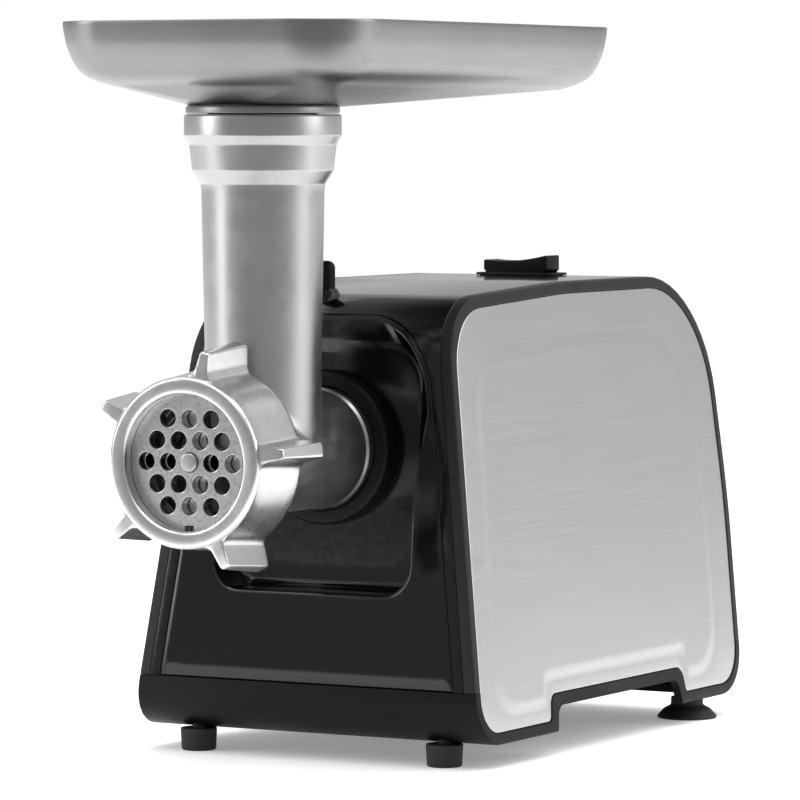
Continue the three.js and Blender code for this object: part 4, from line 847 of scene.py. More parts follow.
def tube_rings():
    """The feed tube's outside: it flares onto the barrel below, and ends in its band and rim."""
    steps, fillet = 96, 5.0
    turns = [2 * math.pi * k / steps for k in range(steps)]

    def meeting(a, radius):
        x, y = radius * math.cos(a), TUBE_Y + radius * math.sin(a)
        reach = barrel_radius(y) - 0.4
        x = min(max(x, -reach), reach)
        return Vector((x, y, AXIS + math.sqrt(max(reach * reach - x * x, 0))))

    rings = [[(0.6 * TUBE_RADIUS * math.cos(a), TUBE_Y + 0.6 * TUBE_RADIUS * math.sin(a), AXIS + 4)
              for a in turns]]
    rings.append([tuple(meeting(a, TUBE_RADIUS + fillet) - Vector((0, 0, 2))) for a in turns])
    for step in range(7):
        part = step / 6
        ring = []
        for a in turns:
            out, corner = meeting(a, TUBE_RADIUS + fillet), meeting(a, TUBE_RADIUS)
            up = corner + Vector((0, 0, fillet))
            ring.append(tuple(out * (1 - part) ** 2 + corner * 2 * part * (1 - part) + up * part ** 2))
        rings.append(ring)
    profile = outline([
        (TUBE_RADIUS, AXIS + 40, 0), (TUBE_RADIUS + 1.5, TUBE_TOP - 34, 30),
        (TUBE_RADIUS + 1.8, TUBE_TOP - 31, 2), (TUBE_RADIUS + 5.6, TUBE_TOP - 25, 3),
        (TUBE_RADIUS + 6.9, TUBE_TOP - 13.5, 3), (TUBE_RADIUS + 9.2, TUBE_TOP - 9.5, 2),
        (TUBE_RADIUS + 9.2, TUBE_TOP, 1.4), (5, TUBE_TOP, 0), (5, AXIS + 40, 0),
    ], 0, 6)
    for radius, height in profile[:-2]:
        rings.append([(radius * math.cos(a), TUBE_Y + radius * math.sin(a), height) for a in turns])
    return rings


TUBE_BORE, BARREL_BORE, CHAMBER_REAR, TAIL_WALL = 22.4, 24.4, -81.9, 38.0
SEAT = PLATE_FACE + PLATE_THICKNESS + GAP
bore = revolve(outline([
    (0, front - 1, 0), (PLATE_RADIUS + GAP, front - 1, 0), (PLATE_RADIUS + GAP, SEAT, 0.2), (28.5, SEAT, 0.3),
    (28.5, CHAMBER_REAR, 1), (BARREL_BORE, CHAMBER_REAR, 0.5), (BARREL_BORE, TAIL_WALL, 1),
    (10.1, TAIL_WALL, 0.4), (10.1, SPIGOT_REAR + 1, 0), (0, SPIGOT_REAR + 1, 0),
], 0, 4), (0, AXIS), "Y", 96)
tube_bore = revolve(outline([
    (0, AXIS, 0), (TUBE_BORE, AXIS, 0), (TUBE_BORE, TUBE_TOP - 40, 8), (TUBE_BORE + 2.4, TUBE_TOP - 22, 8),
    (TUBE_BORE + 2.4, TUBE_TOP + 1, 0), (0, TUBE_TOP + 1, 0),
], 0, 5), (0, TUBE_Y), steps=96)
casting = carve(carve(barrel, [loft(tube_rings())], "UNION"), [bore, tube_bore])
piece("head_casting_body", casting, cast_aluminium, "head", "cast_aluminium", "head_casting", sharp=38)

# The bayonet lugs that hold the head in its socket.
LUG_FRONT, LUG_REAR = 33.4, 38.6
for number, angle in enumerate((90, 210, 330)):
    lug = slab(
        [(-5.8, SPIGOT_RADIUS - 1, 0.4), (5.8, SPIGOT_RADIUS - 1, 0.4), (6.4, SPIGOT_RADIUS + 3.4, 0.8),
         (-6.4, SPIGOT_RADIUS + 3.4, 0.8)], LUG_FRONT, LUG_REAR, 0.5, along_y, 4,
    )
    turn = Matrix.Rotation(math.radians(90 - angle), 4, "Y")
    lug.transform(Matrix.Translation((0, 0, AXIS)) @ turn)
    piece(f"bayonet_lug_{number + 1}", lug, cast_aluminium, "head", "cast_aluminium")

# ---------------------------------------------------------------- perforated plate
# A hardened steel disc, turned flat on its face, with eighteen 8 mm holes and a larger one in the
# middle for the auger's pin. A keyway at its foot stops it from turning in the head.

# Face-turned steel: the tool leaves fine rings round the middle, drawn here 0.5 mm apart.
TURNING_STEP = 0.5
turned_steel, tree, shader, where = material("face-turned steel", "bcbcbc", 1.0, 0.34)
centred = add(tree, "ShaderNodeMapping", {
    "Vector": where, "Location": (0, 0, -AXIS * MM), "Scale": (1, 0, 1),
})
radius = add(tree, "ShaderNodeVectorMath", {"Vector": centred.outputs["Vector"]}, operation="LENGTH")
turns = add(tree, "ShaderNodeMath", {
    0: add(tree, "ShaderNodeMath", {0: radius.outputs["Value"], 1: 2 * math.pi / (TURNING_STEP * MM)},
           operation="MULTIPLY").outputs[0],
}, operation="SINE")
relief(tree, shader, turns.outputs[0], 0.004, 0.4)
tint(tree, shader, noise(tree, where, 7, 4), "b6b6b6", "c2c2c2")
tree.links.new(spread(tree, noise(tree, where, 2, 4), 0.24, 0.36), shader.inputs["Roughness"])


def new_tree(name, **inputs):
    """An empty geometry tree with named inputs, and the node that they come from."""
    made = bpy.data.node_groups.new(name, "GeometryNodeTree")
    kinds = {float: "NodeSocketFloat", int: "NodeSocketInt"}
    for label, value in inputs.items():
        kind = kinds.get(type(value), "NodeSocketMaterial")
        socket = made.interface.new_socket(label.replace("_", " "), in_out="INPUT", socket_type=kind)
        if kind != "NodeSocketMaterial":
            socket.default_value = value
    made.interface.new_socket("Geometry", in_out="OUTPUT", socket_type="NodeSocketGeometry")
    return made, made.nodes.new("NodeGroupInput")


def end_tree(tree, geometry, finish):
    """Ends a tree in Realize Instances and Set Material."""
    real = add(tree, "GeometryNodeRealizeInstances", {"Geometry": geometry})
    painted = add(tree, "GeometryNodeSetMaterial", {"Geometry": real.outputs[0], "Material": finish})
    add(tree, "NodeGroupOutput", {"Geometry": painted.outputs[0]})


def grown(tree, **values):
    """What a tree makes from the values given, as a plain solid."""
    carrier = bpy.data.objects.new(tree.name, bpy.data.meshes.new(tree.name))
    bpy.context.scene.collection.objects.link(carrier)
    modifier = carrier.modifiers.new("made", "NODES")
    modifier.node_group = tree
    for item in tree.interface.items_tree:
        if item.in_out == "INPUT" and item.name.replace(" ", "_") in values:
            modifier[item.identifier] = values[item.name.replace(" ", "_")]
    graph = bpy.context.evaluated_depsgraph_get()
    mesh = bpy.data.meshes.new_from_object(carrier.evaluated_get(graph))
    bm = bmesh.new()
    bm.from_mesh(mesh)
    bpy.data.objects.remove(carrier)
    return bm


def reckon(tree, operation, *values):
    """A Math node's result."""
    return add(tree, "ShaderNodeMath", dict(enumerate(values)), operation=operation).outputs[0]


# Holes stand on a grid whose even rows are shifted by half a pitch; those past the rim are left out.
KEYWAY_WIDTH, KEYWAY_DEPTH, KEYWAY_CUTTER = 4.6, 3.2, 8.0
tree, given = new_tree(
    "perforated plate", Radius=31.0, Thickness=5.0, Hole=4.0, Pin_hole=4.45, Pitch=11.03, Finish=None,
)
pitch = given.outputs["Pitch"]
row_step = reckon(tree, "MULTIPLY", pitch, math.sqrt(3) / 2)
grid = add(tree, "GeometryNodeMeshGrid", {
    "Size X": reckon(tree, "MULTIPLY", pitch, 5.0), "Size Y": reckon(tree, "MULTIPLY", row_step, 4.0),
    "Vertices X": 6, "Vertices Y": 5,
})
place = add(tree, "ShaderNodeSeparateXYZ", {"Vector": add(tree, "GeometryNodeInputPosition").outputs[0]})
row = reckon(tree, "ROUND", reckon(tree, "DIVIDE", place.outputs["Y"], row_step))
even = reckon(tree, "SUBTRACT", 1.0, reckon(tree, "MODULO", reckon(tree, "ABSOLUTE", row), 2.0))
slide = add(tree, "ShaderNodeCombineXYZ", {
    "X": reckon(tree, "MULTIPLY", even, reckon(tree, "MULTIPLY", pitch, 0.5)),
})
shifted_grid = add(tree, "GeometryNodeSetPosition", {
    "Geometry": grid.outputs["Mesh"], "Offset": slide.outputs[0],
})
reach = add(tree, "ShaderNodeVectorMath", {
    "Vector": add(tree, "GeometryNodeInputPosition").outputs[0],
}, operation="LENGTH").outputs["Value"]
kept = add(tree, "GeometryNodeDeleteGeometry", {
    "Geometry": shifted_grid.outputs[0],
    "Selection": add(tree, "FunctionNodeCompare", {
        0: reach, 1: reckon(tree, "MULTIPLY", pitch, 2.1),
    }, operation="GREATER_THAN").outputs[0],
}, domain="POINT")
middle = reckon(tree, "LESS_THAN", reach, reckon(tree, "MULTIPLY", pitch, 0.2))
ratio = reckon(tree, "DIVIDE", given.outputs["Pin hole"], given.outputs["Hole"])
widening = reckon(tree, "SUBTRACT", ratio, 1.0)
size = reckon(tree, "ADD", 1.0, reckon(tree, "MULTIPLY", middle, widening))
drill = add(tree, "GeometryNodeMeshCylinder", {
    "Vertices": 40, "Radius": given.outputs["Hole"],
    "Depth": reckon(tree, "MULTIPLY", given.outputs["Thickness"], 3.0),
})
drills = add(tree, "GeometryNodeInstanceOnPoints", {
    "Points": kept.outputs[0], "Instance": drill.outputs["Mesh"], "Scale": size,
})
disc = add(tree, "GeometryNodeMeshCylinder", {
    "Vertices": 128, "Radius": given.outputs["Radius"], "Depth": given.outputs["Thickness"],
})
key = add(tree, "GeometryNodeTransform", {
    "Geometry": add(tree, "GeometryNodeMeshCube", {
        "Size": (KEYWAY_WIDTH, KEYWAY_CUTTER, 40.0),
    }).outputs["Mesh"],
    "Translation": add(tree, "ShaderNodeCombineXYZ", {
        "Y": reckon(tree, "SUBTRACT", KEYWAY_DEPTH - KEYWAY_CUTTER / 2, given.outputs["Radius"]),
    }).outputs[0],
})
pierced = add(tree, "GeometryNodeMeshBoolean", {
    "Mesh 1": disc.outputs["Mesh"],
    "Mesh 2": add(tree, "GeometryNodeRealizeInstances", {"Geometry": drills.outputs[0]}).outputs[0],
}, operation="DIFFERENCE", solver="EXACT")
tree.links.new(key.outputs[0], pierced.inputs["Mesh 2"])
end_tree(tree, pierced.outputs["Mesh"], given.outputs["Finish"])
plate = grown(tree, Radius=PLATE_RADIUS, Thickness=PLATE_THICKNESS, Finish=turned_steel)
plate.transform(
    Matrix.Translation((0, PLATE_FACE + PLATE_THICKNESS / 2, AXIS)) @ Matrix.Rotation(math.pi / 2, 4, "X")
)
bmesh.ops.remove_doubles(plate, verts=plate.verts, dist=0.005)
bmesh.ops.dissolve_limit(plate, angle_limit=0.01, verts=plate.verts, edges=plate.edges)
soften(plate, 0.3)
piece(
    "perforated_plate", plate, turned_steel, "head", "turned_stainless", "grinding_plate", sharp=20,
)

# ---------------------------------------------------------------- auger
# A cast screw whose single flight pushes the meat forwards. Its pin shows in the plate's middle,
# a square behind the pin drives the blade, and its hexagonal tail sits in the drive shaft.

AUGER_RADIUS, AUGER_CORE, AUGER_PITCH = 23.6, 9.5, 27.0
FLIGHT_FRONT, FLIGHT_REAR = CHAMBER_REAR + 0.6, TAIL_WALL - 8
tree, given = new_tree(
    "screw flight", Radius=23.6, Core=9.5, Pitch=27.0, Length=111.0, Around=56, Along=120, Finish=None,
)
# A cylinder's wall is turned steadily along its length and drawn out where the flight stands.
wall = add(tree, "GeometryNodeMeshCylinder", {
    "Vertices": given.outputs["Around"], "Side Segments": given.outputs["Along"], "Radius": 1.0,
    "Depth": given.outputs["Length"],
})
spot = add(tree, "ShaderNodeSeparateXYZ", {"Vector": add(tree, "GeometryNodeInputPosition").outputs[0]})
angle = reckon(tree, "ARCTAN2", spot.outputs["Y"], spot.outputs["X"])
turns = reckon(tree, "DIVIDE", spot.outputs["Z"], given.outputs["Pitch"])
twist = reckon(tree, "MULTIPLY", turns, 2 * math.pi)
lobe = add(tree, "ShaderNodeMapRange", {
    "Value": reckon(tree, "COSINE", angle), "From Min": 0.72, "From Max": 0.97,
}, interpolation_type="SMOOTHSTEP").outputs["Result"]
flight_height = reckon(tree, "SUBTRACT", given.outputs["Radius"], given.outputs["Core"])
rise = reckon(tree, "MULTIPLY", lobe, flight_height)
out = reckon(tree, "ADD", given.outputs["Core"], rise)
turned = reckon(tree, "ADD", angle, twist)
spiral = add(tree, "ShaderNodeCombineXYZ", {
    "X": reckon(tree, "MULTIPLY", out, reckon(tree, "COSINE", turned)),
    "Y": reckon(tree, "MULTIPLY", out, reckon(tree, "SINE", turned)),
    "Z": spot.outputs["Z"],
})
flight = add(tree, "GeometryNodeSetPosition", {
    "Geometry": wall.outputs["Mesh"], "Position": spiral.outputs[0],
})
end_tree(tree, flight.outputs[0], given.outputs["Finish"])
screw = grown(
    tree, Radius=AUGER_RADIUS, Core=AUGER_CORE, Pitch=AUGER_PITCH, Length=FLIGHT_REAR - FLIGHT_FRONT,
    Finish=cast_aluminium,
)
screw.transform(
    Matrix.Translation((0, (FLIGHT_FRONT + FLIGHT_REAR) / 2, AXIS)) @ Matrix.Rotation(math.pi / 2, 4, "X")
)
bmesh.ops.recalc_face_normals(screw, faces=screw.faces)
core = revolve(outline([
    (0, PLATE_FACE - 1.6, 0), (4.2, PLATE_FACE - 1.6, 0.9), (4.2, SEAT + 1, 0.2), (5.2, SEAT + 1, 0.2),
    (5.2, CHAMBER_REAR - 1.3, 0.2), (8.5, CHAMBER_REAR - 1.3, 0.4), (8.5, FLIGHT_REAR - 2, 0.3),
    (13, FLIGHT_REAR - 1, 0.8), (13, TAIL_WALL - 4.2, 0.5), (9.9, TAIL_WALL - 4.2, 0.3),
    (9.9, SPIGOT_REAR, 0.4), (7.1, SPIGOT_REAR, 0.2), (7.1, GEARBOX_FRONT - 2.5, 0.6),
    (0, GEARBOX_FRONT - 2.5, 0),
], 0, 4), (0, AXIS), "Y", 64)
piece("auger_screw", carve(core, [screw], "UNION"), cast_aluminium, "drive", "cast_aluminium", "auger")

# ---------------------------------------------------------------- locking ring
# A polished aluminium casting screwed over the barrel's end. Five lugs give the hand a hold; each
# flows out of the ring in a fillet and ends in a rounded tip.

# Polished cast aluminium: brighter than the head, with faint handling marks.
polished_aluminium, tree, shader, where = material("polished cast aluminium", "cacaca", 1.0, 0.28)
relief(tree, shader, noise(tree, where, 2.5, 2), 0.003, 0.15)
tree.links.new(spread(tree, noise(tree, where, 9, 3), 0.23, 0.29), shader.inputs["Roughness"])
tint(tree, shader, noise(tree, where, 14, 4), "c4c4c4", "d0d0d0")

RING_FRONT = PLATE_FACE - 6.5
RING_REAR = RING_FRONT + 33.5
RING_LUGS, LUG_TIP, LUG_FLARE, LUG_START = 5, 49.6, 3.2, 6.3
LUG_FOOT_HALF, LUG_TIP_HALF, LUG_FILLET = 4.8, 3.6, 5.0


def ring_row(base, tip, y):
    """The ring's outline at a depth: its five lugs stand up to the tip's radius, or are left out."""
    depth = min(max((y - RING_FRONT) / (RING_REAR - RING_FRONT), 0), 1)
    thick = 0.6 + 0.4 * depth
    half_foot, half_tip, corner = LUG_FOOT_HALF * thick, LUG_TIP_HALF * thick, 1.6 * thick
    share = 1.0 if tip > base else 0.0
    top = tip if tip > base else LUG_TIP

    def surface(u):
        return math.sqrt(base * base - u * u)

    def bent(start, bend, end, steps):
        return [
            tuple(p * (1 - k / steps) ** 2 + q * 2 * (k / steps) * (1 - k / steps) + r * (k / steps) ** 2
                  for p, q, r in zip(start, bend, end))
            for k in range(steps + 1)
        ]

    swell = min(LUG_FILLET, (top - base) * 0.6)
    out = (half_foot + LUG_FILLET, surface(half_foot + LUG_FILLET))
    side = bent(out, (half_foot, surface(half_foot)), (half_foot - 0.05, surface(half_foot) + swell), 7)
    side += bent(
        (half_tip, top - corner), (half_tip, top), (half_tip - corner, top), 5,
    )
    side = [(u - 0.002 * k, surface(u) + (v - surface(u)) * share) for k, (u, v) in enumerate(side)]
    lug = side + [(0.0, surface(0) + (top - surface(0)) * share)] + [(-u, v) for u, v in reversed(side)]
    edge = math.atan2(out[0], out[1])
    row = []
    for number in range(RING_LUGS):
        middle = math.radians(LUG_START) + 2 * math.pi * number / RING_LUGS
        for u, v in lug:
            row.append((v * math.cos(middle) + u * math.sin(middle), y,
                        AXIS + v * math.sin(middle) - u * math.cos(middle)))
        gap = 2 * math.pi / RING_LUGS - 2 * edge
        for k in range(1, 16):
            a = middle + edge + gap * k / 16
            row.append((base * math.cos(a), y, AXIS + base * math.sin(a)))
    return row


inner_radius = THREAD_RADIUS + GAP
rows = [ring_row(PLATE_RADIUS - 1, 0, PLATE_FACE - GAP), ring_row(PLATE_RADIUS - 1, 0, RING_FRONT + 1.9)]
rows += [ring_row(PLATE_RADIUS - 0.7, 0, RING_FRONT + 0.9), ring_row(PLATE_RADIUS + 0.1, 0, RING_FRONT + 0.2)]
rows += [ring_row(PLATE_RADIUS + 1, 0, RING_FRONT), ring_row(THREAD_RADIUS + 0.9, 0, RING_FRONT)]
for k in range(1, 6):
    t = math.pi / 2 * k / 6
    rows.append(ring_row(THREAD_RADIUS + 0.9 + 2.2 * math.sin(t), 0, RING_FRONT + 2.2 * (1 - math.cos(t))))
outer_front, outer_rear = THREAD_RADIUS + 3.3, THREAD_RADIUS + 6.1
LUG_Y, LUG_EDGE = RING_FRONT + 2.4, 1.6
rows += [ring_row(outer_front, 0, LUG_Y), ring_row(outer_front, outer_front + 4, LUG_Y + 0.1)]
for k in range(6):
    t = math.pi / 2 * k / 5
    tip = LUG_TIP - LUG_EDGE * (1 - math.sin(t))
    rows.append(ring_row(outer_front, tip, LUG_Y + 0.2 + LUG_EDGE * (1 - math.cos(t))))
for k in range(1, 7):
    y = LUG_Y + 1.8 + (RING_REAR - 4.4 - LUG_Y) * k / 6
    rows.append(ring_row(
        outer_front + (outer_rear - outer_front) * k / 6, LUG_TIP + LUG_FLARE * k / 6, y,
    ))
for k in range(1, 6):
    t = math.pi / 2 * k / 5
    tip = LUG_TIP + LUG_FLARE - 1.5 * (1 - math.cos(t))
    rows.append(ring_row(outer_rear - 0.5 * (1 - math.cos(t)), tip, RING_REAR - 1.6 + 1.5 * math.sin(t)))
rows += [ring_row(outer_rear - 1.0, 0, RING_REAR), ring_row(inner_radius, 0, RING_REAR)]
rows += [ring_row(inner_radius, 0, PLATE_FACE - GAP)]
piece(
    "locking_ring_casting", loft(rows, closed=True), polished_aluminium, "ring", "polished_aluminium",
    "locking_ring", sharp=40,
)

# ---------------------------------------------------------------- hopper tray
# A deep-drawn stainless tray, brushed satin, with a round neck that drops into the feed tube's rim.
# Its sides stand steeply under the edge and then curve in to a floor that falls to the neck.

# Satin stainless: drawn sheet, fine-brushed lengthwise, so its shine is soft and slightly streaked.
satin_steel, tree, shader, where = material("satin stainless", "8a8a8a", 1.0, 0.36)
brushing = noise(tree, where, 0.7, 4, (1, 60, 1))
relief(tree, shader, brushing, 0.015, 0.5)
tree.links.new(spread(tree, brushing, 0.3, 0.42), shader.inputs["Roughness"])
tint(tree, shader, noise(tree, where, 30, 3), "848484", "909090")

TRAY_HALF, TRAY_FRONT, TRAY_REAR, TRAY_CORNER = 79.0, -97.0, 176.0, 32.0
TRAY_RIM, NECK_TOP, SHEET = 335.0, 297.6, 1.2
DEPTH_FRONT, DEPTH_REAR = 27.0, 28.0
FLOOR_HOLE = 28.0


def tray_row(inset, share, lift=0.0):
    """A ring of the pan, a way in from its rim and a share of its depth down."""
    radius = max(TRAY_CORNER - inset * 0.9, 12)
    half_x = TRAY_HALF - inset
    low, high = TRAY_FRONT + inset, TRAY_REAR - inset
    corners = [(-half_x, low, radius), (half_x, low, radius), (half_x, high, radius), (-half_x, high, radius)]
    row = []
    for x, y in outline(corners, 0, 23):
        depth = DEPTH_FRONT + (DEPTH_REAR - DEPTH_FRONT) * (y - TRAY_FRONT) / (TRAY_REAR - TRAY_FRONT)
        row.append((x, y, TRAY_RIM - share * depth + lift))
    return row


def neck_row(radius, height):
    count = 96
    turns = [math.pi + 2 * math.pi * (k + 0.5) / count for k in range(count)]
    return [(radius * math.cos(a), TUBE_Y + radius * math.sin(a), height) for a in turns]


def smooth_profile(points, steps):
    """More points along a line of (inset, share) pairs, on a curve through them."""
    padded = [points[0], *points, points[-1]]
    curve = []
    for p0, p1, p2, p3 in zip(padded, padded[1:], padded[2:], padded[3:]):
        for k in range(steps):
            t = k / steps
            curve.append(tuple(
                0.5 * (2 * b + (c - a) * t + (2 * a - 5 * b + 4 * c - d) * t * t
                       + (3 * b - a - 3 * c + d) * t ** 3)
                for a, b, c, d in zip(p0, p1, p2, p3)
            ))
    return curve + [points[-1]]


# The pan's side, as (way in from the rim, share of the depth).
WALL = [(0.0, 0.04), (0.6, 0.2), (2.2, 0.45), (6.5, 0.78), (13, 0.95), (22, 1.05)]
under = smooth_profile(WALL, 4)
rows = [tray_row(0.05, 0.012), *[tray_row(i, s) for i, s in under]]
last_under = rows[-1]
rows += [between(last_under, neck_row(FLOOR_HOLE, NECK_TOP - 0.9), k / 8) for k in range(1, 9)]
over_floor = tray_row(22, 1.05, SHEET)
rows += [
    between(over_floor, neck_row(FLOOR_HOLE, NECK_TOP + SHEET - 0.9), k / 8) for k in range(8, 0, -1)
]
rows += [tray_row(i + SHEET * (1 - s * 0.45), s, SHEET * s * 0.9) for i, s in reversed(under)]
rows += [tray_row(SHEET, 0.012), tray_row(SHEET * 0.75, 0.0), tray_row(0.3, 0.0)]
pan = loft(rows, closed=True)
neck = revolve(outline([
    (22.9, 282, 0.4), (24.5, 282, 0.5), (24.5, 294.3, 0.2), (34.4, 294.3, 0.6), (34.4, NECK_TOP - 0.2, 1.2),
    (31.4, NECK_TOP + 1.1, 1), (22.9, NECK_TOP + 1.1, 0.8),
], 0, 5), (0, TUBE_Y), steps=96)
piece("tray_pan", pan, satin_steel, "tray", "satin_stainless", "hopper_tray", sharp=50)
piece("tray_neck", neck, satin_steel, "tray", "satin_stainless")

# ---------------------------------------------------------------- gear train, motor and fastenings
# Sealed inside the housing: a die-cast gearbox, nylon gears on steel shafts and a brush motor. They
# keep the frame's own solids and take the finish of what each is made of.

# Die-cast zinc alloy: matte grey with a fine cast skin.
die_cast, tree, shader, where = material("die-cast alloy", "a0a1a3", 1.0, 0.5)
relief(tree, shader, noise(tree, where, 0.8, 4), 0.05, 0.5)
tint(tree, shader, noise(tree, where, 12, 3), "98999b", "a8a9ab")

# Zinc-plated machine steel.
machine_steel, tree, shader, where = material("zinc-plated steel", "9c9da0", 1.0, 0.3)
relief(tree, shader, noise(tree, where, 0.5, 3), 0.02, 0.4)
tint(tree, shader, noise(tree, where, 4, 3), "939497", "a6a7aa")

# Stacked laminations: varnished sheets 0.5 mm thick. The wave's rings come out six sheets apart,
# because single sheets would be too fine to show.
LAMINATION, WAVE_FACTOR = 0.5, 20
laminations, tree, shader, where = material("varnished laminations", "56585c", 1.0, 0.5)
sheet_rings = add(tree, "ShaderNodeTexWave", {
    "Vector": where, "Scale": 1 / (LAMINATION * MM) / WAVE_FACTOR, "Distortion": 0.2,
}, bands_direction="Y").outputs["Fac"]
relief(tree, shader, sheet_rings, 0.05, 0.8)
tint(tree, shader, noise(tree, where, 9, 3), "4e5054", "5f6165")

# Enamelled copper windings.
copper, tree, shader, where = material("enamelled copper", "b4663a", 1.0, 0.34)
relief(tree, shader, noise(tree, where, 0.6, 2, (1, 12, 1)), 0.1, 0.8)
tint(tree, shader, noise(tree, where, 3, 3), "a45a32", "c07042")

# Sintered bronze, dull with oil.
bronze, tree, shader, where = material("sintered bronze", "97784a", 1.0, 0.42)
relief(tree, shader, noise(tree, where, 0.4, 4), 0.04, 0.5)
tint(tree, shader, noise(tree, where, 3, 3), "8d6f43", "a18151")

# Natural nylon: milky, waxy and a little translucent.
nylon, tree, shader, where = material("natural nylon", "d7d3c6", 0.0, 0.42, 1.53, Subsurface_Weight=0.1)
relief(tree, shader, noise(tree, where, 1.5, 2), 0.03, 0.4)
tint(tree, shader, noise(tree, where, 8, 2), "d0ccbe", "dedacd")

# Grey filled thermoplastic, as moulded.
grey_plastic, tree, shader, where = material("grey thermoplastic", "737477", 0.0, 0.48, 1.53)
relief(tree, shader, noise(tree, where, 0.9, 2), 0.03, 0.5)
tint(tree, shader, noise(tree, where, 10, 2), "6d6e71", "7a7b7e")

# Pressed carbon for the brushes.
carbon, tree, shader, where = material("pressed carbon", "28282a", 0.0, 0.6, 1.8)
relief(tree, shader, noise(tree, where, 0.3, 4), 0.05, 0.6)
tint(tree, shader, noise(tree, where, 1.5, 3), "232325", "2f2f31")

FINISHES = {
    "die_cast_alloy": die_cast, "machine_steel": machine_steel, "laminated_steel": laminations,
    "copper": copper, "bronze": bronze, "nylon": nylon, "grey_plastic": grey_plastic, "carbon": carbon,
    "turned_stainless": turned_steel, "cast_aluminium": cast_aluminium, "black_rubber": black_rubber,
    "satin_black_abs": satin_black, "gloss_black_abs": gloss_black, "dark_grey_abs": dark_grey,
    "brushed_stainless": brushed_steel, "satin_stainless": satin_steel,
    "polished_aluminium": polished_aluminium,
}
for part in frame["record"]["subparts"]:
    solid = frame["nodes"][part["node"]]
    solid.data.materials.clear()
    solid.data.materials.append(FINISHES[part["material_slot"]])

# ---------------------------------------------------------------- release spring
# A small coil of steel wire under the button's arm lifts the button again.

COIL_RADIUS, WIRE_RADIUS, COIL_TURNS = 3.0, 0.4, 4.0
tree, given = new_tree("coil spring", Radius=3.0, Wire=0.4, Turns=4.0, Height=8.0, Finish=None)
coil = add(tree, "GeometryNodeCurveSpiral", {
    "Resolution": 40, "Rotations": given.outputs["Turns"], "Start Radius": given.outputs["Radius"],
    "End Radius": given.outputs["Radius"], "Height": given.outputs["Height"],
})
section = add(tree, "GeometryNodeCurvePrimitiveCircle", {
    "Resolution": 12, "Radius": given.outputs["Wire"],
})
swept = add(tree, "GeometryNodeCurveToMesh", {
    "Curve": coil.outputs["Curve"], "Profile Curve": section.outputs["Curve"], "Fill Caps": True,
})
end_tree(tree, swept.outputs["Mesh"], given.outputs["Finish"])
coil_foot, coil_head = AXIS + SOCKET_RADIUS + GAP, ARM_FOOT - GAP
coil_height = coil_head - coil_foot - 2 * WIRE_RADIUS
spring = grown(
    tree, Radius=COIL_RADIUS, Wire=WIRE_RADIUS, Turns=COIL_TURNS, Height=coil_height, Finish=machine_steel,
)
spring.transform(Matrix.Translation((0, SPRING_Y, coil_foot + WIRE_RADIUS)))
bmesh.ops.recalc_face_normals(spring, faces=spring.faces)
spring_piece = piece(
    "release_spring", spring, machine_steel, "housing", "machine_steel", "button_spring", sharp=60,
)
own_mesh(spring_piece)

# ---------------------------------------------------------------- studio
# A pale floor in a white room. Soft boxes over and beside the machine and a wide high window light
# it, and a long lens looks at it from the front right, turned and dipped by these angles.

VIEW_TURN, VIEW_DIP = 29, 3.1
CAMERA_PLACE, CAMERA_LENS, CAMERA_SENSOR = (1.1578, -2.0873, 0.2897), 229.5, 36
STAGE_HALF, STAGE_BACK = 2.2, 1.72
floor_paint, tree, shader, where = material(
    "studio floor", "f4f4f4", 0.0, 0.6, Emission_Color=(1, 1, 1, 1), Emission_Strength=0.25,
)
tint(tree, shader, noise(tree, where, 900), "f3f3f3", "f6f6f6")
bm = bmesh.new()
bmesh.ops.create_grid(bm, x_segments=4, y_segments=4, size=STAGE_HALF)
bm.transform(
    Matrix.Rotation(math.radians(VIEW_TURN), 4, "Z") @ Matrix.Translation((0, STAGE_BACK, 0))
)
mesh = bpy.data.meshes.new("floor")
bm.to_mesh(mesh)
bm.free()
mesh.materials.append(floor_paint)
floor = bpy.data.objects.new("floor", mesh)
bpy.context.scene.collection.objects.link(floor)

room = bpy.data.worlds.new("white room")
bpy.context.scene.world = room
room.use_nodes = True
tree = room.node_tree
tree.nodes.clear()
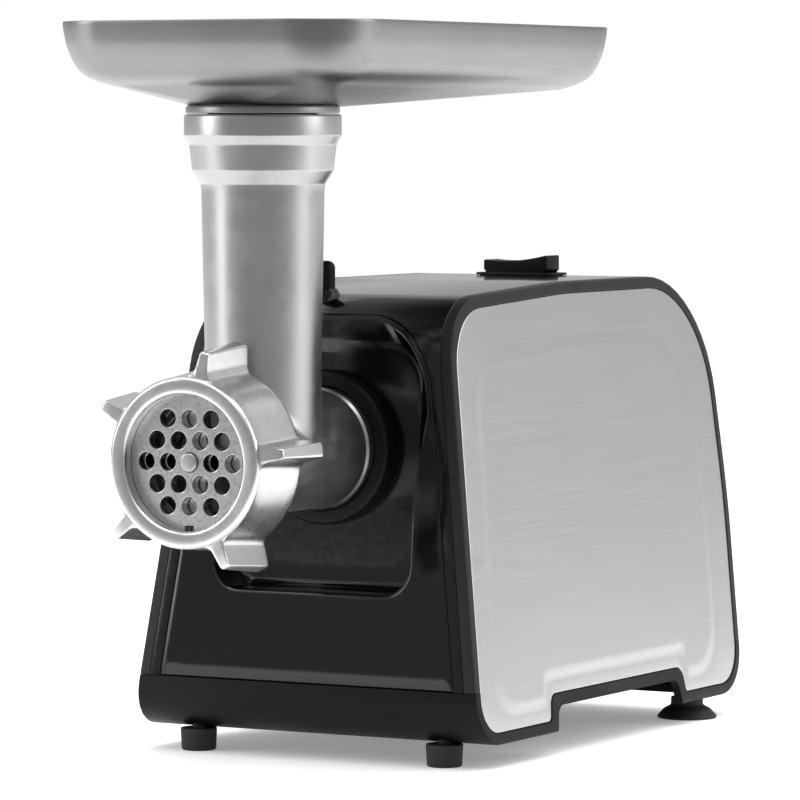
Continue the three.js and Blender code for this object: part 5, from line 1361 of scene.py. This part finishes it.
# White to the eye; in what it lights and in reflections, darker before the machine than behind it.
seen = add(tree, "ShaderNodeBackground", {"Color": (1, 1, 1, 1), "Strength": 1.0})
around = add(tree, "ShaderNodeTexCoord").outputs["Generated"]
direction = add(tree, "ShaderNodeSeparateXYZ", {"Vector": around})
depth = add(tree, "ShaderNodeMapRange", {
    "Value": direction.outputs["Y"], "From Min": -0.55, "From Max": 0.35, "To Min": 0.4, "To Max": 0.66,
}, interpolation_type="SMOOTHSTEP")
above = add(tree, "ShaderNodeMapRange", {
    "Value": direction.outputs["Z"], "From Min": 0.45, "From Max": 0.95, "To Min": 0.0, "To Max": 1.0,
}, interpolation_type="SMOOTHSTEP")
glow = reckon(tree, "ADD", depth.outputs["Result"], above.outputs["Result"])
lit = add(tree, "ShaderNodeBackground", {"Color": (1, 1, 1, 1), "Strength": glow})
ray = add(tree, "ShaderNodeLightPath")
both = add(tree, "ShaderNodeMixShader", {"Fac": ray.outputs["Is Camera Ray"]})
tree.links.new(lit.outputs[0], both.inputs[1])
tree.links.new(seen.outputs[0], both.inputs[2])
tree.links.new(both.outputs[0], add(tree, "ShaderNodeOutputWorld").inputs["Surface"])
bpy.context.scene.view_settings.view_transform = "Standard"


def soft_box(name, place, aim, size, power):
    """A rectangular lamp that faces a point."""
    lamp = bpy.data.lights.new(name, "AREA")
    lamp.shape = "RECTANGLE"
    lamp.size, lamp.size_y = size
    lamp.energy = power
    made = bpy.data.objects.new(name, lamp)
    bpy.context.scene.collection.objects.link(made)
    made.location = place
    made.rotation_euler = (Vector(aim) - Vector(place)).to_track_quat("-Z", "Y").to_euler()


soft_box("overhead", (0.1, 0.2, 1.7), (0, 0, 0), (1.8, 1.8), 14)
soft_box("left", (-1.35, -1.05, 0.75), (0, 0, 0.2), (0.6, 1.2), 10)
soft_box("right", (1.6, 0.5, 0.8), (0, 0, 0.15), (0.9, 1.2), 8)

sky = bpy.data.lights.new("high window", "SUN")
sky.energy, sky.angle = 0.9, math.radians(60)
bpy.context.scene.collection.objects.link(bpy.data.objects.new("high window", sky))

view = bpy.data.cameras.new("camera")
view.sensor_width, view.lens = CAMERA_SENSOR, CAMERA_LENS
camera = bpy.data.objects.new("camera", view)
bpy.context.scene.collection.objects.link(camera)
camera.location = CAMERA_PLACE
camera.rotation_euler = (math.radians(90 - VIEW_DIP), 0, math.radians(VIEW_TURN))
bpy.context.scene.camera = camera
